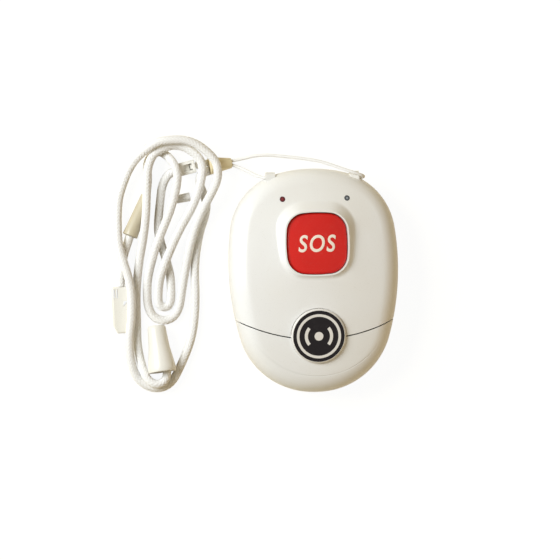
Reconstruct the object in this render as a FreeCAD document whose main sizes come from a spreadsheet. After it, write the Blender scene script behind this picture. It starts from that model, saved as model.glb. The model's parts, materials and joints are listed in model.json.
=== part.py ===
"""Wireless panic button worn on a neck lanyard.

Frame: the pendant lies on its flat back. +Z comes out of the front, +Y points to the
end that hangs on the string, and the origin is under the middle of the pendant.
"""
import FreeCAD, Part
import math
import os
import Sketcher

os.makedirs("parts", exist_ok=True)
doc = FreeCAD.newDocument("PanicButton")
V = FreeCAD.Vector

# Driving sizes, mm.
sheet = doc.addObject("Spreadsheet::Sheet", "Sizes")
SIZES = [
    ("body_length", 64.0, "pendant along Y"),
    ("body_width", 48.4, "pendant along X at its widest"),
    ("widest_y", 4.7, "Y of the widest place"),
    ("crown_arc", 38.2, "outline radius at the string end"),
    ("shoulder_arc", 18.8, "outline radius beside the string end"),
    ("side_arc", 77.4, "outline radius of the long sides"),
    ("heel_arc", 21.4, "outline radius beside the battery end"),
    ("chin_arc", 27.0, "outline radius at the battery end"),
    ("dome_height", 16.4, "top of the domed front"),
    ("dome_arc", 120.0, "radius of the domed front"),
    ("front_round", 6.0, "rounding of the front edge"),
    ("back_round", 4.5, "rounding of the back edge"),
    ("wall", 1.6, "wall of the housing"),
    ("split_height", 6.5, "plane between the front and the rear moulding"),
    ("seam_arc", 49.0, "radius of the smile-shaped seam"),
    ("seam_centre", 32.4, "Y of the seam's centre"),
    ("seam_gap", 0.3, "joint line between housing and battery cover"),
    ("bulkhead_y", -12.4, "upper face of the wall before the battery bay"),
    ("bulkhead_thick", 1.2, "thickness of that wall"),
    ("button_y", 10.4, "middle of the button"),
    ("button_half", 8.7, "half side of the button"),
    ("button_corner", 5.2, "corner radius of the button"),
    ("button_side", 40.0, "radius of the button's bowed sides"),
    ("button_top", 16.9, "middle of the button's face"),
    ("button_dome", 75.0, "radius of the button's face"),
    ("button_fit", 0.15, "gap round the button"),
    ("button_bottom", 11.2, "underside of the button's flange"),
    ("flange_thick", 1.0, "button flange"),
    ("flange_out", 1.1, "flange beyond the button's side"),
    ("button_wall", 1.3, "wall of the hollow button"),
    ("lip_height", 17.1, "top of the lip round the button"),
    ("lip_out", 0.55, "outer edge of the lip beyond the button"),
    ("collar_base", 13.0, "level at which the collar starts"),
    ("collar_slope", 45.0, "slope of the collar, degrees"),
    ("collar_blend", 1.6, "blend between collar and front"),
    ("skirt_out", 1.15, "outside of the button's guide beyond the button"),
    ("skirt_bottom", 12.3, "lower end of the button's guide"),
    ("board_bottom", 7.0, "underside of the circuit board"),
    ("board_thick", 1.0, "circuit board"),
    ("board_inset", 2.4, "board edge inside the outline"),
    ("lens_x", 9.25, "LED windows beside the middle"),
    ("lens_y", 23.2, "LED windows along Y"),
    ("lens_radius", 0.75, "LED window"),
    ("screw_x", 17.2, "side screws beside the middle"),
    ("screw_y", 10.0, "side screws along Y"),
    ("screw_low_y", -9.0, "lower screw along Y"),
    ("screw_head", 1.9, "radius of the screw head"),
    ("screw_shank", 1.0, "radius of the screw shank"),
    ("badge_y", -15.8, "middle of the badge"),
    ("badge_radius", 7.8, "badge disc"),
    ("badge_thick", 1.2, "badge disc"),
    ("badge_sunk", 0.5, "depth of the badge's recess"),
    ("inlay_radius", 7.3, "dark face of the badge"),
    ("inlay_thick", 0.3, "dark face of the badge"),
    ("cell_radius", 3.85, "12 V battery"),
    ("cell_length", 28.0, "12 V battery with its nub"),
    ("cell_left", -13.4, "flat end of the battery"),
    ("cell_y", -18.8, "axis of the battery along Y"),
    ("cell_z", 6.55, "axis of the battery above the back"),
    ("trough_radius", 4.05, "battery trough"),
    ("tray_top", 7.0, "top of the battery tray"),
    ("tray_inset", 1.9, "tray inside the outline"),
    ("tunnel_y", 29.2, "string tunnel along Y"),
    ("tunnel_z", 8.6, "string tunnel above the back"),
    ("tunnel_radius", 0.9, "bore of the string tunnel"),
    ("cord_size", 2.5, "diameter of the neck cord"),
    ("string_size", 0.9, "diameter of the hanging string"),
]
for row, (alias, value, note) in enumerate(SIZES, start=1):
    sheet.set("A%d" % row, alias.replace("_", " "))
    sheet.set("B%d" % row, str(value))
    sheet.set("C%d" % row, note)
    sheet.setAlias("B%d" % row, alias)
doc.recompute()


def size(alias):
    """Value of one cell of the sheet."""
    return float(sheet.get(alias))


# Small helpers.
def bind(item, **rules):
    """Binds properties to the sheet; a double underscore stands for a dot."""
    for name, rule in rules.items():
        item.setExpression(name.replace("__", "."), rule)
    return item


def place(item, x="0", y="0", z="0"):
    """Binds the three coordinates of an object's place."""
    return bind(item, Placement__Base__x=x, Placement__Base__y=y, Placement__Base__z=z)


def turned(item, axis, angle):
    """Gives an object its rotation before its place is bound."""
    item.Placement = FreeCAD.Placement(V(), FreeCAD.Rotation(axis, angle))
    return item


def cylinder(name, radius, height, x="0", y="0", z="0", along=None):
    """Cylinder from its base point, upright or along X."""
    item = bind(doc.addObject("Part::Cylinder", name), Radius=radius, Height=height)
    if along == "X":
        turned(item, V(0, 1, 0), 90)
    return place(item, x, y, z)


def box(name, length, width, height, x="0", y="0", z="0"):
    """Box from its lowest corner."""
    item = bind(doc.addObject("Part::Box", name), Length=length, Width=width, Height=height)
    return place(item, x, y, z)


def cut(name, base, tool):
    item = doc.addObject("Part::Cut", name)
    item.Base = base
    item.Tool = tool
    return item


def common(name, first, second):
    item = doc.addObject("Part::Common", name)
    item.Base = first
    item.Tool = second
    return item


def fuse(name, *pieces):
    item = doc.addObject("Part::MultiFuse", name)
    item.Shapes = list(pieces)
    return item


def solid(name, shape):
    item = doc.addObject("Part::Feature", name)
    item.Shape = shape
    return item


def new_body(name):
    return doc.addObject("PartDesign::Body", name)


def sketch_on(body, plane, name, x="0 mm", y="0 mm", z="0 mm"):
    """Sketch on one of the body's own origin planes, moved by a bound offset."""
    sketch = body.newObject("Sketcher::SketchObject", name)
    origin = [f for f in body.Origin.OriginFeatures if f.Role == plane][0]
    sketch.AttachmentSupport = [(origin, "")]
    sketch.MapMode = "FlatFace"
    bind(sketch, AttachmentOffset__Base__x=x, AttachmentOffset__Base__y=y,
         AttachmentOffset__Base__z=z)
    return sketch


def pad(body, sketch, length, taper=0.0):
    item = body.newObject("PartDesign::Pad", sketch.Name + "Pad")
    item.Profile = sketch
    item.TaperAngle = taper
    bind(item, Length=length)
    return item


def rounded(body, base, radius, test, name):
    """Fillet on the edges of the body's last feature that pass the test."""
    doc.recompute()
    edges = ["Edge%d" % n for n, edge in enumerate(base.Shape.Edges, start=1) if test(edge)]
    item = body.newObject("PartDesign::Fillet", name)
    item.Base = (base, edges)
    bind(item, Radius=radius)
    doc.recompute()
    return item


def bevelled(body, base, width, test, name):
    """Chamfer on the edges of the body's last feature that pass the test."""
    doc.recompute()
    edges = ["Edge%d" % n for n, edge in enumerate(base.Shape.Edges, start=1) if test(edge)]
    item = body.newObject("PartDesign::Chamfer", name)
    item.Base = (base, edges)
    bind(item, Size=width)
    doc.recompute()
    return item


def named(sketch, index, name, rule):
    """Names a sketch dimension and binds it to the sheet."""
    sketch.renameConstraint(index, name)
    sketch.setExpression("Constraints." + name, rule)


def inscribed(centre_a, radius_a, centre_b, radius_b, radius, left):
    """Centre of a circle that touches two larger circles from inside."""
    ax, ay = centre_a
    bx, by = centre_b
    apart = math.hypot(bx - ax, by - ay)
    ux, uy = (bx - ax) / apart, (by - ay) / apart
    reach_a = radius_a - radius
    reach_b = radius_b - radius
    along = (reach_a ** 2 - reach_b ** 2 + apart ** 2) / (2 * apart)
    across = math.sqrt(reach_a ** 2 - along ** 2)
    if left:
        return ax + ux * along - uy * across, ay + uy * along + ux * across
    return ax + ux * along + uy * across, ay + uy * along - ux * across


def arc_ring(sketch, arcs):
    """Closed ring of tangent arcs, counter-clockwise: (centre, radius) in order."""
    count = len(arcs)
    breaks = []
    for n in range(count):
        (ax, ay), ra = arcs[n]
        (bx, by), rb = arcs[(n + 1) % count]
        if ra > rb:
            breaks.append(math.atan2(by - ay, bx - ax))
        else:
            breaks.append(math.atan2(ay - by, ax - bx))
    for n in range(count):
        (cx, cy), radius = arcs[n]
        start = breaks[n - 1]
        end = breaks[n]
        while end < start:
            end += 2 * math.pi
        circle = Part.Circle(V(cx, cy, 0), V(0, 0, 1), radius)
        sketch.addGeometry(Part.ArcOfCircle(circle, start, end), False)
    for n in range(count):
        sketch.addConstraint(Sketcher.Constraint("Tangent", n, 2, (n + 1) % count, 1))


def outline(body, name, inset, level):
    """The pendant's egg-shaped outline: eight tangent arcs, moved inwards by the inset."""
    sketch = sketch_on(body, "XY_Plane", name, z=level)
    step = float(sheet.get(inset.split(".")[1])) if "." in inset else float(inset)
    long_half = size("body_length") / 2
    crown = (0.0, long_half - size("crown_arc"))
    chin = (0.0, size("chin_arc") - long_half)
    side = (size("body_width") / 2 - size("side_arc"), size("widest_y"))
    shoulder = max(
        (inscribed(crown, size("crown_arc"), side, size("side_arc"), size("shoulder_arc"), left)
         for left in (True, False)), key=lambda centre: centre[1])
    heel = min(
        (inscribed(chin, size("chin_arc"), side, size("side_arc"), size("heel_arc"), left)
         for left in (True, False)), key=lambda centre: centre[1])
    order = [
        ("chin", chin), ("heel", heel), ("side", side), ("shoulder", shoulder),
        ("crown", crown), ("shoulder", (-shoulder[0], shoulder[1])),
        ("side", (-side[0], side[1])), ("heel", (-heel[0], heel[1])),
    ]
    arc_ring(sketch, [(centre, size(kind + "_arc") - step) for kind, centre in order])
    for n, (kind, centre) in enumerate(order):
        index = sketch.addConstraint(Sketcher.Constraint("Radius", n, size(kind + "_arc") - step))
        named(sketch, index, "radius%d" % n, "Sizes.%s_arc - %s" % (kind, inset))
    sketch.addConstraint(Sketcher.Constraint("PointOnObject", 0, 3, -2))
    sketch.addConstraint(Sketcher.Constraint("PointOnObject", 4, 3, -2))
    index = sketch.addConstraint(Sketcher.Constraint("DistanceY", 0, 3, -1, 1, -chin[1]))
    named(sketch, index, "chinCentre", "Sizes.body_length / 2 - Sizes.chin_arc")
    index = sketch.addConstraint(Sketcher.Constraint("DistanceY", 4, 3, -1, 1, -crown[1]))
    named(sketch, index, "crownCentre", "Sizes.crown_arc - Sizes.body_length / 2")
    index = sketch.addConstraint(Sketcher.Constraint("DistanceX", 2, 3, -1, 1, -side[0]))
    named(sketch, index, "rightSideX", "Sizes.side_arc - Sizes.body_width / 2")
    index = sketch.addConstraint(Sketcher.Constraint("DistanceY", -1, 1, 2, 3, side[1]))
    named(sketch, index, "rightSideY", "Sizes.widest_y")
    index = sketch.addConstraint(Sketcher.Constraint("DistanceX", -1, 1, 6, 3, -side[0]))
    named(sketch, index, "leftSideX", "Sizes.side_arc - Sizes.body_width / 2")
    index = sketch.addConstraint(Sketcher.Constraint("DistanceY", -1, 1, 6, 3, side[1]))
    named(sketch, index, "leftSideY", "Sizes.widest_y")
    return sketch


def pebble(name, inset):
    """The pendant's rounded form, or the same form moved inwards, with bevels inside."""
    step = size(inset.split(".")[1]) if "." in inset else float(inset)
    body = new_body(name)
    flat = outline(body, name + "Outline", inset, inset)
    block = pad(body, flat, "Sizes.dome_height - 2 * (%s) + 1" % inset)
    dome = sketch_on(body, "XZ_Plane", name + "Dome")
    apex = size("dome_height") - step
    radius = size("dome_arc") - step
    reach = 42.0
    low = apex - radius + math.sqrt(radius ** 2 - reach ** 2)
    circle = Part.Circle(V(0, apex - radius, 0), V(0, 0, 1), radius)
    edge = math.atan2(low - apex + radius, reach)
    dome.addGeometry(Part.ArcOfCircle(circle, edge, math.pi / 2), False)
    dome.addGeometry(Part.LineSegment(V(0, apex, 0), V(0, apex + 5, 0)), False)
    dome.addGeometry(Part.LineSegment(V(0, apex + 5, 0), V(reach, apex + 5, 0)), False)
    dome.addGeometry(Part.LineSegment(V(reach, apex + 5, 0), V(reach, low, 0)), False)
    for first, end, second, start in ((0, 2, 1, 1), (1, 2, 2, 1), (2, 2, 3, 1), (3, 2, 0, 1)):
        dome.addConstraint(Sketcher.Constraint("Coincident", first, end, second, start))
    dome.addConstraint(Sketcher.Constraint("Vertical", 1))
    dome.addConstraint(Sketcher.Constraint("Horizontal", 2))
    dome.addConstraint(Sketcher.Constraint("Vertical", 3))
    dome.addConstraint(Sketcher.Constraint("PointOnObject", 0, 3, -2))
    dome.addConstraint(Sketcher.Constraint("PointOnObject", 0, 2, -2))
    index = dome.addConstraint(Sketcher.Constraint("Radius", 0, radius))
    named(dome, index, "domeRadius", "Sizes.dome_arc - %s" % inset)
    index = dome.addConstraint(Sketcher.Constraint("DistanceY", -1, 1, 0, 2, apex))
    named(dome, index, "domeApex", "Sizes.dome_height - %s" % inset)
    dome.addConstraint(Sketcher.Constraint("DistanceX", 2, 1, 2, 2, reach))
    dome.addConstraint(Sketcher.Constraint("DistanceY", 1, 1, 1, 2, 5.0))
    groove = body.newObject("PartDesign::Groove", name + "Front")
    groove.Profile = dome
    groove.ReferenceAxis = (dome, ["V_Axis"])
    groove.Angle = 360
    doc.recompute()
    if groove.Shape.Volume > block.Shape.Volume - 100:
        raise RuntimeError(name + ": the domed front was not cut")

    def at_front(edge):
        return edge.BoundBox.ZMin > 8 and edge.Length > 1 and not is_upright(edge)

    def at_back(edge):
        return edge.BoundBox.ZMax < step + 0.01

    if step:
        front = bevelled(body, groove, "0.55 * Sizes.front_round", at_front, name + "FrontBevel")
        bevelled(body, front, "0.45 * Sizes.back_round", at_back, name + "BackBevel")
    else:
        front = rounded(body, groove, "Sizes.front_round", at_front, name + "FrontRound")
        rounded(body, front, "Sizes.back_round", at_back, name + "BackRound")
    return body


def is_upright(edge):
    box_of = edge.BoundBox
    return box_of.XLength < 0.01 and box_of.YLength < 0.01


def squircle(body, name, grow, level, middle="Sizes.button_y"):
    """The button's outline, grown by a gap: four bowed sides and four round corners."""
    sketch = sketch_on(body, "XY_Plane", name, y=middle, z=level)
    more = sum(size(term.strip().split(".")[1]) for term in grow.split("+")) if grow != "0" else 0
    half = size("button_half") + more
    side = size("button_side") + more
    corner = size("button_corner") + more
    away = half - side
    diagonal = (away + math.sqrt(2 * (side - corner) ** 2 - away ** 2)) / 2
    order = [
        ("side", (0, -away)), ("corner", (diagonal, -diagonal)),
        ("side", (away, 0)), ("corner", (diagonal, diagonal)),
        ("side", (0, away)), ("corner", (-diagonal, diagonal)),
        ("side", (-away, 0)), ("corner", (-diagonal, -diagonal)),
    ]
    arc_ring(sketch, [(c, side if kind == "side" else corner) for kind, c in order])
    for n, (kind, centre) in enumerate(order):
        value = side if kind == "side" else corner
        index = sketch.addConstraint(Sketcher.Constraint("Radius", n, value))
        named(sketch, index, "radius%d" % n, "Sizes.button_%s + %s" % (kind, grow))
    rule = "Sizes.button_side - Sizes.button_half"
    for n, across, ends in ((0, "DistanceY", 1), (2, "DistanceX", -1),
                            (4, "DistanceY", -1), (6, "DistanceX", 1)):
        if ends > 0:
            index = sketch.addConstraint(Sketcher.Constraint(across, -1, 1, n, 3, -away))
        else:
            index = sketch.addConstraint(Sketcher.Constraint(across, n, 3, -1, 1, -away))
        named(sketch, index, "bow%d" % n, rule)
        sketch.addConstraint(Sketcher.Constraint("PointOnObject", n, 3,
                                                 -2 if across == "DistanceY" else -1))
    return sketch


# The rounded forms.
form = pebble("HousingForm", "0")
cavity = pebble("CavityForm", "Sizes.wall")
tray_form = pebble("TrayForm", "Sizes.tray_inset")

# The soft collar that rises round the button, blended into the domed front.
collar_body = new_body("CollarForm")
collar_sketch = squircle(collar_body, "CollarTop", "Sizes.lip_out", "Sizes.lip_height")
collar_pad = pad(collar_body, collar_sketch, "Sizes.lip_height - Sizes.collar_base")
collar_pad.Reversed = True
collar_pad.TaperAngle = size("collar_slope")
doc.recompute()
solid_form = fuse("SolidForm", form, collar_body)
solid_form.Refine = True
doc.recompute()


def at_collar_foot(edge):
    if edge.Degenerated or isinstance(edge.Curve, Part.Circle):
        return False
    middle = edge.valueAt((edge.FirstParameter + edge.LastParameter) / 2)
    reach = math.hypot(middle.x, middle.y - size("button_y"))
    on_front = abs(middle.z - front_height(middle.x, middle.y)) < 0.02
    return on_front and size("button_half") < reach < 1.7 * size("button_half")


def front_height(x, y):
    """Height of the domed front over a point."""
    radius = size("dome_arc")
    return size("dome_height") - radius + math.sqrt(radius ** 2 - x * x - y * y)


foot = [n for n, edge in enumerate(solid_form.Shape.Edges, start=1) if at_collar_foot(edge)]
blended = doc.addObject("Part::Fillet", "BlendedForm")
blended.Base = solid_form
blended.Edges = [(n, size("collar_blend"), size("collar_blend")) for n in foot]
doc.recompute()
print("collar foot edges", len(foot), "blend valid",
      (not blended.Shape.isNull()) and blended.Shape.isValid())

# Badge recess tools.
# The badge disc follows the slope of the front, so its recess leans with it.
badge_lean = math.degrees(math.asin(-size("badge_y") / size("dome_arc")))
lean_rule = "asin(-Sizes.badge_y / Sizes.dome_arc)"
badge_level = ("Sizes.dome_height - Sizes.dome_arc"
               " + sqrt(Sizes.dome_arc ^ 2 - Sizes.badge_y ^ 2)")


def leaning(item, depth):
    """Places an upright object on the badge's sloping seat, sunk by the depth."""
    turned(item, V(1, 0, 0), badge_lean)
    bind(item, Placement__Rotation__Angle=lean_rule)
    return place(item, "0", "Sizes.badge_y + (%s) * sin(%s)" % (depth, lean_rule),
                 "%s - (%s) * cos(%s)" % (badge_level, depth, lean_rule))


cap_recess = bind(doc.addObject("Part::Cylinder", "CapRecess"),
                  Radius="Sizes.badge_radius + 0.05", Height="5")
leaning(cap_recess, "Sizes.badge_sunk")
housing_recess = bind(doc.addObject("Part::Cylinder", "HousingRecess"),
                      Radius="Sizes.badge_radius + 0.2", Height="5")
leaning(housing_recess, "Sizes.badge_sunk + 0.1")

# Front moulding.
front_zone = cylinder("FrontZone", "Sizes.seam_arc", "20", y="Sizes.seam_centre",
                      z="Sizes.split_height")
recessed_form = cut("RecessedForm", blended, housing_recess)
front_block = common("FrontBlock", recessed_form, front_zone)

bulkhead_bar = box("BulkheadBar", "44", "Sizes.bulkhead_thick", "14", "-22",
                   "Sizes.bulkhead_y - Sizes.bulkhead_thick", "Sizes.split_height - 1")
band_outer = cylinder("BandOuter", "Sizes.seam_arc + 1", "14", y="Sizes.seam_centre",
                      z="Sizes.split_height - 1")
band_inner = cylinder("BandInner", "Sizes.seam_arc - 1.2", "16", y="Sizes.seam_centre",
                      z="Sizes.split_height - 2")
band_ring = cut("BandRing", band_outer, band_inner)
band_window = box("BandWindow", "60", "6", "20", "-30",
                  "Sizes.bulkhead_y - Sizes.bulkhead_thick", "0")
band = common("BulkheadEnds", band_ring, band_window)
skirt_body = new_body("ButtonGuide")
pad(skirt_body, squircle(skirt_body, "GuideOutline", "Sizes.skirt_out", "Sizes.skirt_bottom"),
    "3")
boss_left = cylinder("FrontBossLeft", "2.3", "9", "-Sizes.screw_x", "Sizes.screw_y",
                     "Sizes.board_bottom + Sizes.board_thick")
boss_right = cylinder("FrontBossRight", "2.3", "9", "Sizes.screw_x", "Sizes.screw_y",
                      "Sizes.board_bottom + Sizes.board_thick")
boss_lower = cylinder("FrontBossLower", "2.3", "9", "0", "Sizes.screw_low_y",
                      "Sizes.board_bottom + Sizes.board_thick")
tunnel_wall = box("TunnelWall", "30", "5", "4.1", "-15", "Sizes.tunnel_y - 1.7",
                  "Sizes.tunnel_z - 2.3")
kept = fuse("KeptInFront", bulkhead_bar, band, skirt_body, boss_left, boss_right, boss_lower,
            tunnel_wall)
front_hollow = cut("FrontHollow", cavity, kept)
front_walls = cut("FrontWalls", front_block, front_hollow)
ear_left = cylinder("EarLeft", "1.9", "2.6", "-13.4", "Sizes.tunnel_y", "Sizes.tunnel_z",
                    along="X")
ear_right = cylinder("EarRight", "1.9", "2.6", "10.8", "Sizes.tunnel_y", "Sizes.tunnel_z",
                     along="X")
front_full = fuse("FrontWithEars", front_walls, ear_left, ear_right)

well_body = new_body("ButtonWell")
pad(well_body, squircle(well_body, "WellOutline", "Sizes.button_fit", "9"), "10")
lens_hole_left = cylinder("LensHoleLeft", "Sizes.lens_radius + 0.05", "9", "-Sizes.lens_x",
                          "Sizes.lens_y", "9")
lens_hole_right = cylinder("LensHoleRight", "Sizes.lens_radius + 0.05", "9", "Sizes.lens_x",
                           "Sizes.lens_y", "9")
pilot_left = cylinder("PilotLeft", "Sizes.screw_shank + 0.05", "5.4", "-Sizes.screw_x",
                      "Sizes.screw_y", "7.5")
pilot_right = cylinder("PilotRight", "Sizes.screw_shank + 0.05", "5.4", "Sizes.screw_x",
                       "Sizes.screw_y", "7.5")
pilot_lower = cylinder("PilotLower", "Sizes.screw_shank + 0.05", "5.4", "0",
                       "Sizes.screw_low_y", "7.5")
tunnel = cylinder("StringTunnel", "Sizes.tunnel_radius", "32", "-16", "Sizes.tunnel_y",
                  "Sizes.tunnel_z", along="X")
front_holes = fuse("FrontHoles", well_body, lens_hole_left, lens_hole_right, pilot_left,
                   pilot_right, pilot_lower, tunnel)
front_shell = cut("FrontShell", front_full, front_holes)

# Rear moulding.
rear_zone = cylinder("RearZone", "Sizes.seam_arc", "Sizes.split_height",
                     y="Sizes.seam_centre")
rear_block = common("RearBlock", form, rear_zone)
rear_bulkhead = box("RearBulkhead", "44", "Sizes.bulkhead_thick + 0.4", "8", "-22",
                    "Sizes.bulkhead_y - Sizes.bulkhead_thick - 0.4", "0")
rear_hollow = cut("RearHollow", cavity, rear_bulkhead)
rear_walls = cut("RearWalls", rear_block, rear_hollow)
rear_bosses = [
    cylinder("RearBossLeft", "2.6", "Sizes.board_bottom - 1", "-Sizes.screw_x",
             "Sizes.screw_y", "1"),
    cylinder("RearBossRight", "2.6", "Sizes.board_bottom - 1", "Sizes.screw_x",
             "Sizes.screw_y", "1"),
    cylinder("RearBossLower", "2.6", "Sizes.board_bottom - 1", "0", "Sizes.screw_low_y", "1"),
]
tray_window = box("TrayWindow", "60", "20", "Sizes.tray_top", "-30",
                  "Sizes.bulkhead_y - Sizes.bulkhead_thick - 0.15 - 20", "0")
tray_block = common("TrayBlock", tray_form, tray_window)
tray_step = box("TrayStep", "28", "5", "2.2", "-14", "Sizes.bulkhead_y - 2.2", "1")
trough = cylinder("BatteryTrough", "Sizes.trough_radius", "30.4", "Sizes.cell_left - 2",
                  "Sizes.cell_y", "Sizes.cell_z", along="X")
rear_full = fuse("RearFull", rear_walls, tray_block, tray_step, *rear_bosses)
rear_tools = [trough]
for tag, x, y in (("Left", "-Sizes.screw_x", "Sizes.screw_y"),
                  ("Right", "Sizes.screw_x", "Sizes.screw_y"),
                  ("Lower", "0", "Sizes.screw_low_y")):
    rear_tools.append(cylinder("HeadSeat" + tag, "Sizes.screw_head + 0.2", "2.8", x, y, "-1"))
    rear_tools.append(cylinder("ShankHole" + tag, "Sizes.screw_shank + 0.2", "9", x, y, "-1"))
rear_shell = cut("RearShell", rear_full, fuse("RearHoles", *rear_tools))

# Battery cover.
cap_zone = cylinder("CoverZone", "Sizes.seam_arc + Sizes.seam_gap", "24",
                    y="Sizes.seam_centre", z="-2")
cap_block = cut("CoverBlock", form, cap_zone)
cap_walls = cut("CoverWalls", cap_block, cavity)
battery_cap = cut("BatteryCap", cap_walls, cap_recess)

# Badge.
badge_body = new_body("BadgeDisc")
badge_sketch = sketch_on(badge_body, "XZ_Plane", "BadgeProfile")
rim = 0.35
points = [(0, 0), (size("badge_radius"), 0), (size("badge_radius"), size("badge_thick") - rim),
          (size("badge_radius") - rim, size("badge_thick")),
          (size("inlay_radius") + 0.05, size("badge_thick")),
          (size("inlay_radius") + 0.05, size("badge_thick") - 0.25),
          (0, size("badge_thick") - 0.25)]


def profile(sketch, points, bulge=None):
    """Closed profile of straight lines; bulge turns one corner into a quarter round."""
    last = len(points)
    for n in range(last):
        x1, y1 = points[n]
        x2, y2 = points[(n + 1) % last]
        if bulge == n:
            centre = V(x2, y1, 0) if abs(x2) < abs(x1) else V(x1, y2, 0)
            circle = Part.Circle(centre, V(0, 0, 1), abs(x2 - x1))
            sketch.addGeometry(Part.ArcOfCircle(circle, 0, math.pi / 2), False)
        else:
            sketch.addGeometry(Part.LineSegment(V(x1, y1, 0), V(x2, y2, 0)), False)
    for n in range(last):
        sketch.addConstraint(Sketcher.Constraint("Coincident", n, 2, (n + 1) % last, 1))


def revolve(body, sketch):
    item = body.newObject("PartDesign::Revolution", sketch.Name + "Turned")
    item.Profile = sketch
    item.ReferenceAxis = (sketch, ["V_Axis"])
    item.Angle = 360
    return item


profile(badge_sketch, points)
for kind, first, second, name, rule, value in (
        ("DistanceX", 0, None, "discRadius", "Sizes.badge_radius", size("badge_radius")),
        ("DistanceY", 6, None, "discTop", "Sizes.badge_thick - 0.25",
         size("badge_thick") - 0.25)):
    if kind == "DistanceX":
        index = badge_sketch.addConstraint(Sketcher.Constraint(kind, 0, 1, 0, 2, value))
    else:
        index = badge_sketch.addConstraint(Sketcher.Constraint(kind, 6, 2, 6, 1, value))
    named(badge_sketch, index, name, rule)
badge_sketch.addConstraint(Sketcher.Constraint("Coincident", 0, 1, -1, 1))
revolve(badge_body, badge_sketch)
leaning(badge_body, "Sizes.badge_sunk")
inlay = bind(doc.addObject("Part::Cylinder", "BadgeInlay"), Radius="Sizes.inlay_radius",
             Height="Sizes.inlay_thick")
leaning(inlay, "Sizes.badge_sunk - Sizes.badge_thick + 0.25")

# Button.
button_body = new_body("ButtonCap")
button_pad = pad(button_body, squircle(button_body, "ButtonOutline", "0",
                                       "Sizes.button_bottom"),
                 "Sizes.button_top - Sizes.button_bottom + 1")
face = sketch_on(button_body, "XZ_Plane", "ButtonFace", z="-Sizes.button_y")
top = size("button_top")
bow = size("button_dome")
reach = 16.0
low = top - bow + math.sqrt(bow ** 2 - reach ** 2)
circle = Part.Circle(V(0, top - bow, 0), V(0, 0, 1), bow)
face.addGeometry(Part.ArcOfCircle(circle, math.atan2(low - top + bow, reach), math.pi / 2), False)
face.addGeometry(Part.LineSegment(V(0, top, 0), V(0, top + 3, 0)), False)
face.addGeometry(Part.LineSegment(V(0, top + 3, 0), V(reach, top + 3, 0)), False)
face.addGeometry(Part.LineSegment(V(reach, top + 3, 0), V(reach, low, 0)), False)
for first, second in ((0, 1), (1, 2), (2, 3), (3, 0)):
    face.addConstraint(Sketcher.Constraint("Coincident", first, 2, second, 1))
face.addConstraint(Sketcher.Constraint("PointOnObject", 0, 3, -2))
face.addConstraint(Sketcher.Constraint("PointOnObject", 0, 2, -2))
face.addConstraint(Sketcher.Constraint("Vertical", 1))
face.addConstraint(Sketcher.Constraint("Horizontal", 2))
face.addConstraint(Sketcher.Constraint("Vertical", 3))
index = face.addConstraint(Sketcher.Constraint("Radius", 0, bow))
named(face, index, "faceRadius", "Sizes.button_dome")
index = face.addConstraint(Sketcher.Constraint("DistanceY", -1, 1, 0, 2, top))
named(face, index, "faceTop", "Sizes.button_top")
face.addConstraint(Sketcher.Constraint("DistanceX", 2, 1, 2, 2, reach))
face.addConstraint(Sketcher.Constraint("DistanceY", 1, 1, 1, 2, 3.0))
face_cut = button_body.newObject("PartDesign::Groove", "ButtonFaceCut")
face_cut.Profile = face
face_cut.ReferenceAxis = (face, ["V_Axis"])
face_cut.Angle = 360
doc.recompute()
if face_cut.Shape.Volume > button_pad.Shape.Volume - 20:
    raise RuntimeError("the button's face was not cut")


def at_button_face(edge):
    return edge.BoundBox.ZMin > 14 and edge.Length > 1 and not is_upright(edge)


rounded(button_body, face_cut, "0.9", at_button_face, "ButtonFaceRound")
hollow_body = new_body("ButtonHollow")
hollow_sketch = squircle(hollow_body, "HollowOutline", "Sizes.button_fit", "10")
pad(hollow_body, hollow_sketch, "Sizes.button_top - Sizes.button_wall - 10.6")
flange_body = new_body("ButtonFlange")
pad(flange_body, squircle(flange_body, "FlangeOutline", "Sizes.flange_out",
                          "Sizes.button_bottom"), "Sizes.flange_thick")
stem = cylinder("ButtonStem", "1.6", "4", "0", "Sizes.button_y", "12")
doc.recompute()

# The hollow is the button's outline scaled about its middle to leave the wall.
hollow_scale = (size("button_half") - size("button_wall")) / (size("button_half")
                                                             + size("button_fit"))
hollow_shape = hollow_body.Shape.copy()
matrix = FreeCAD.Matrix()
matrix.move(V(0, -size("button_y"), 0))
matrix.scale(V(hollow_scale, hollow_scale, 1))
matrix.move(V(0, size("button_y"), 0))
hollow = solid("ButtonHollowTool", hollow_shape.transformGeometry(matrix))
button_full = fuse("ButtonFull", button_body, flange_body)
button_cap = fuse("ButtonCapDone", cut("ButtonShellOnly", button_full, hollow), stem)

# Switch and board.
switch_block = box("SwitchBlock", "6", "6", "3.4", "-3", "Sizes.button_y - 3",
                   "Sizes.board_bottom + Sizes.board_thick")
switch_bore = cylinder("SwitchBore", "1.85", "3", "0", "Sizes.button_y", "9.4")
switch_body = cut("SwitchBody", switch_block, switch_bore)
switch_plunger = cylinder("SwitchPlunger", "1.75", "1.8", "0", "Sizes.button_y", "10.2")

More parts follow.
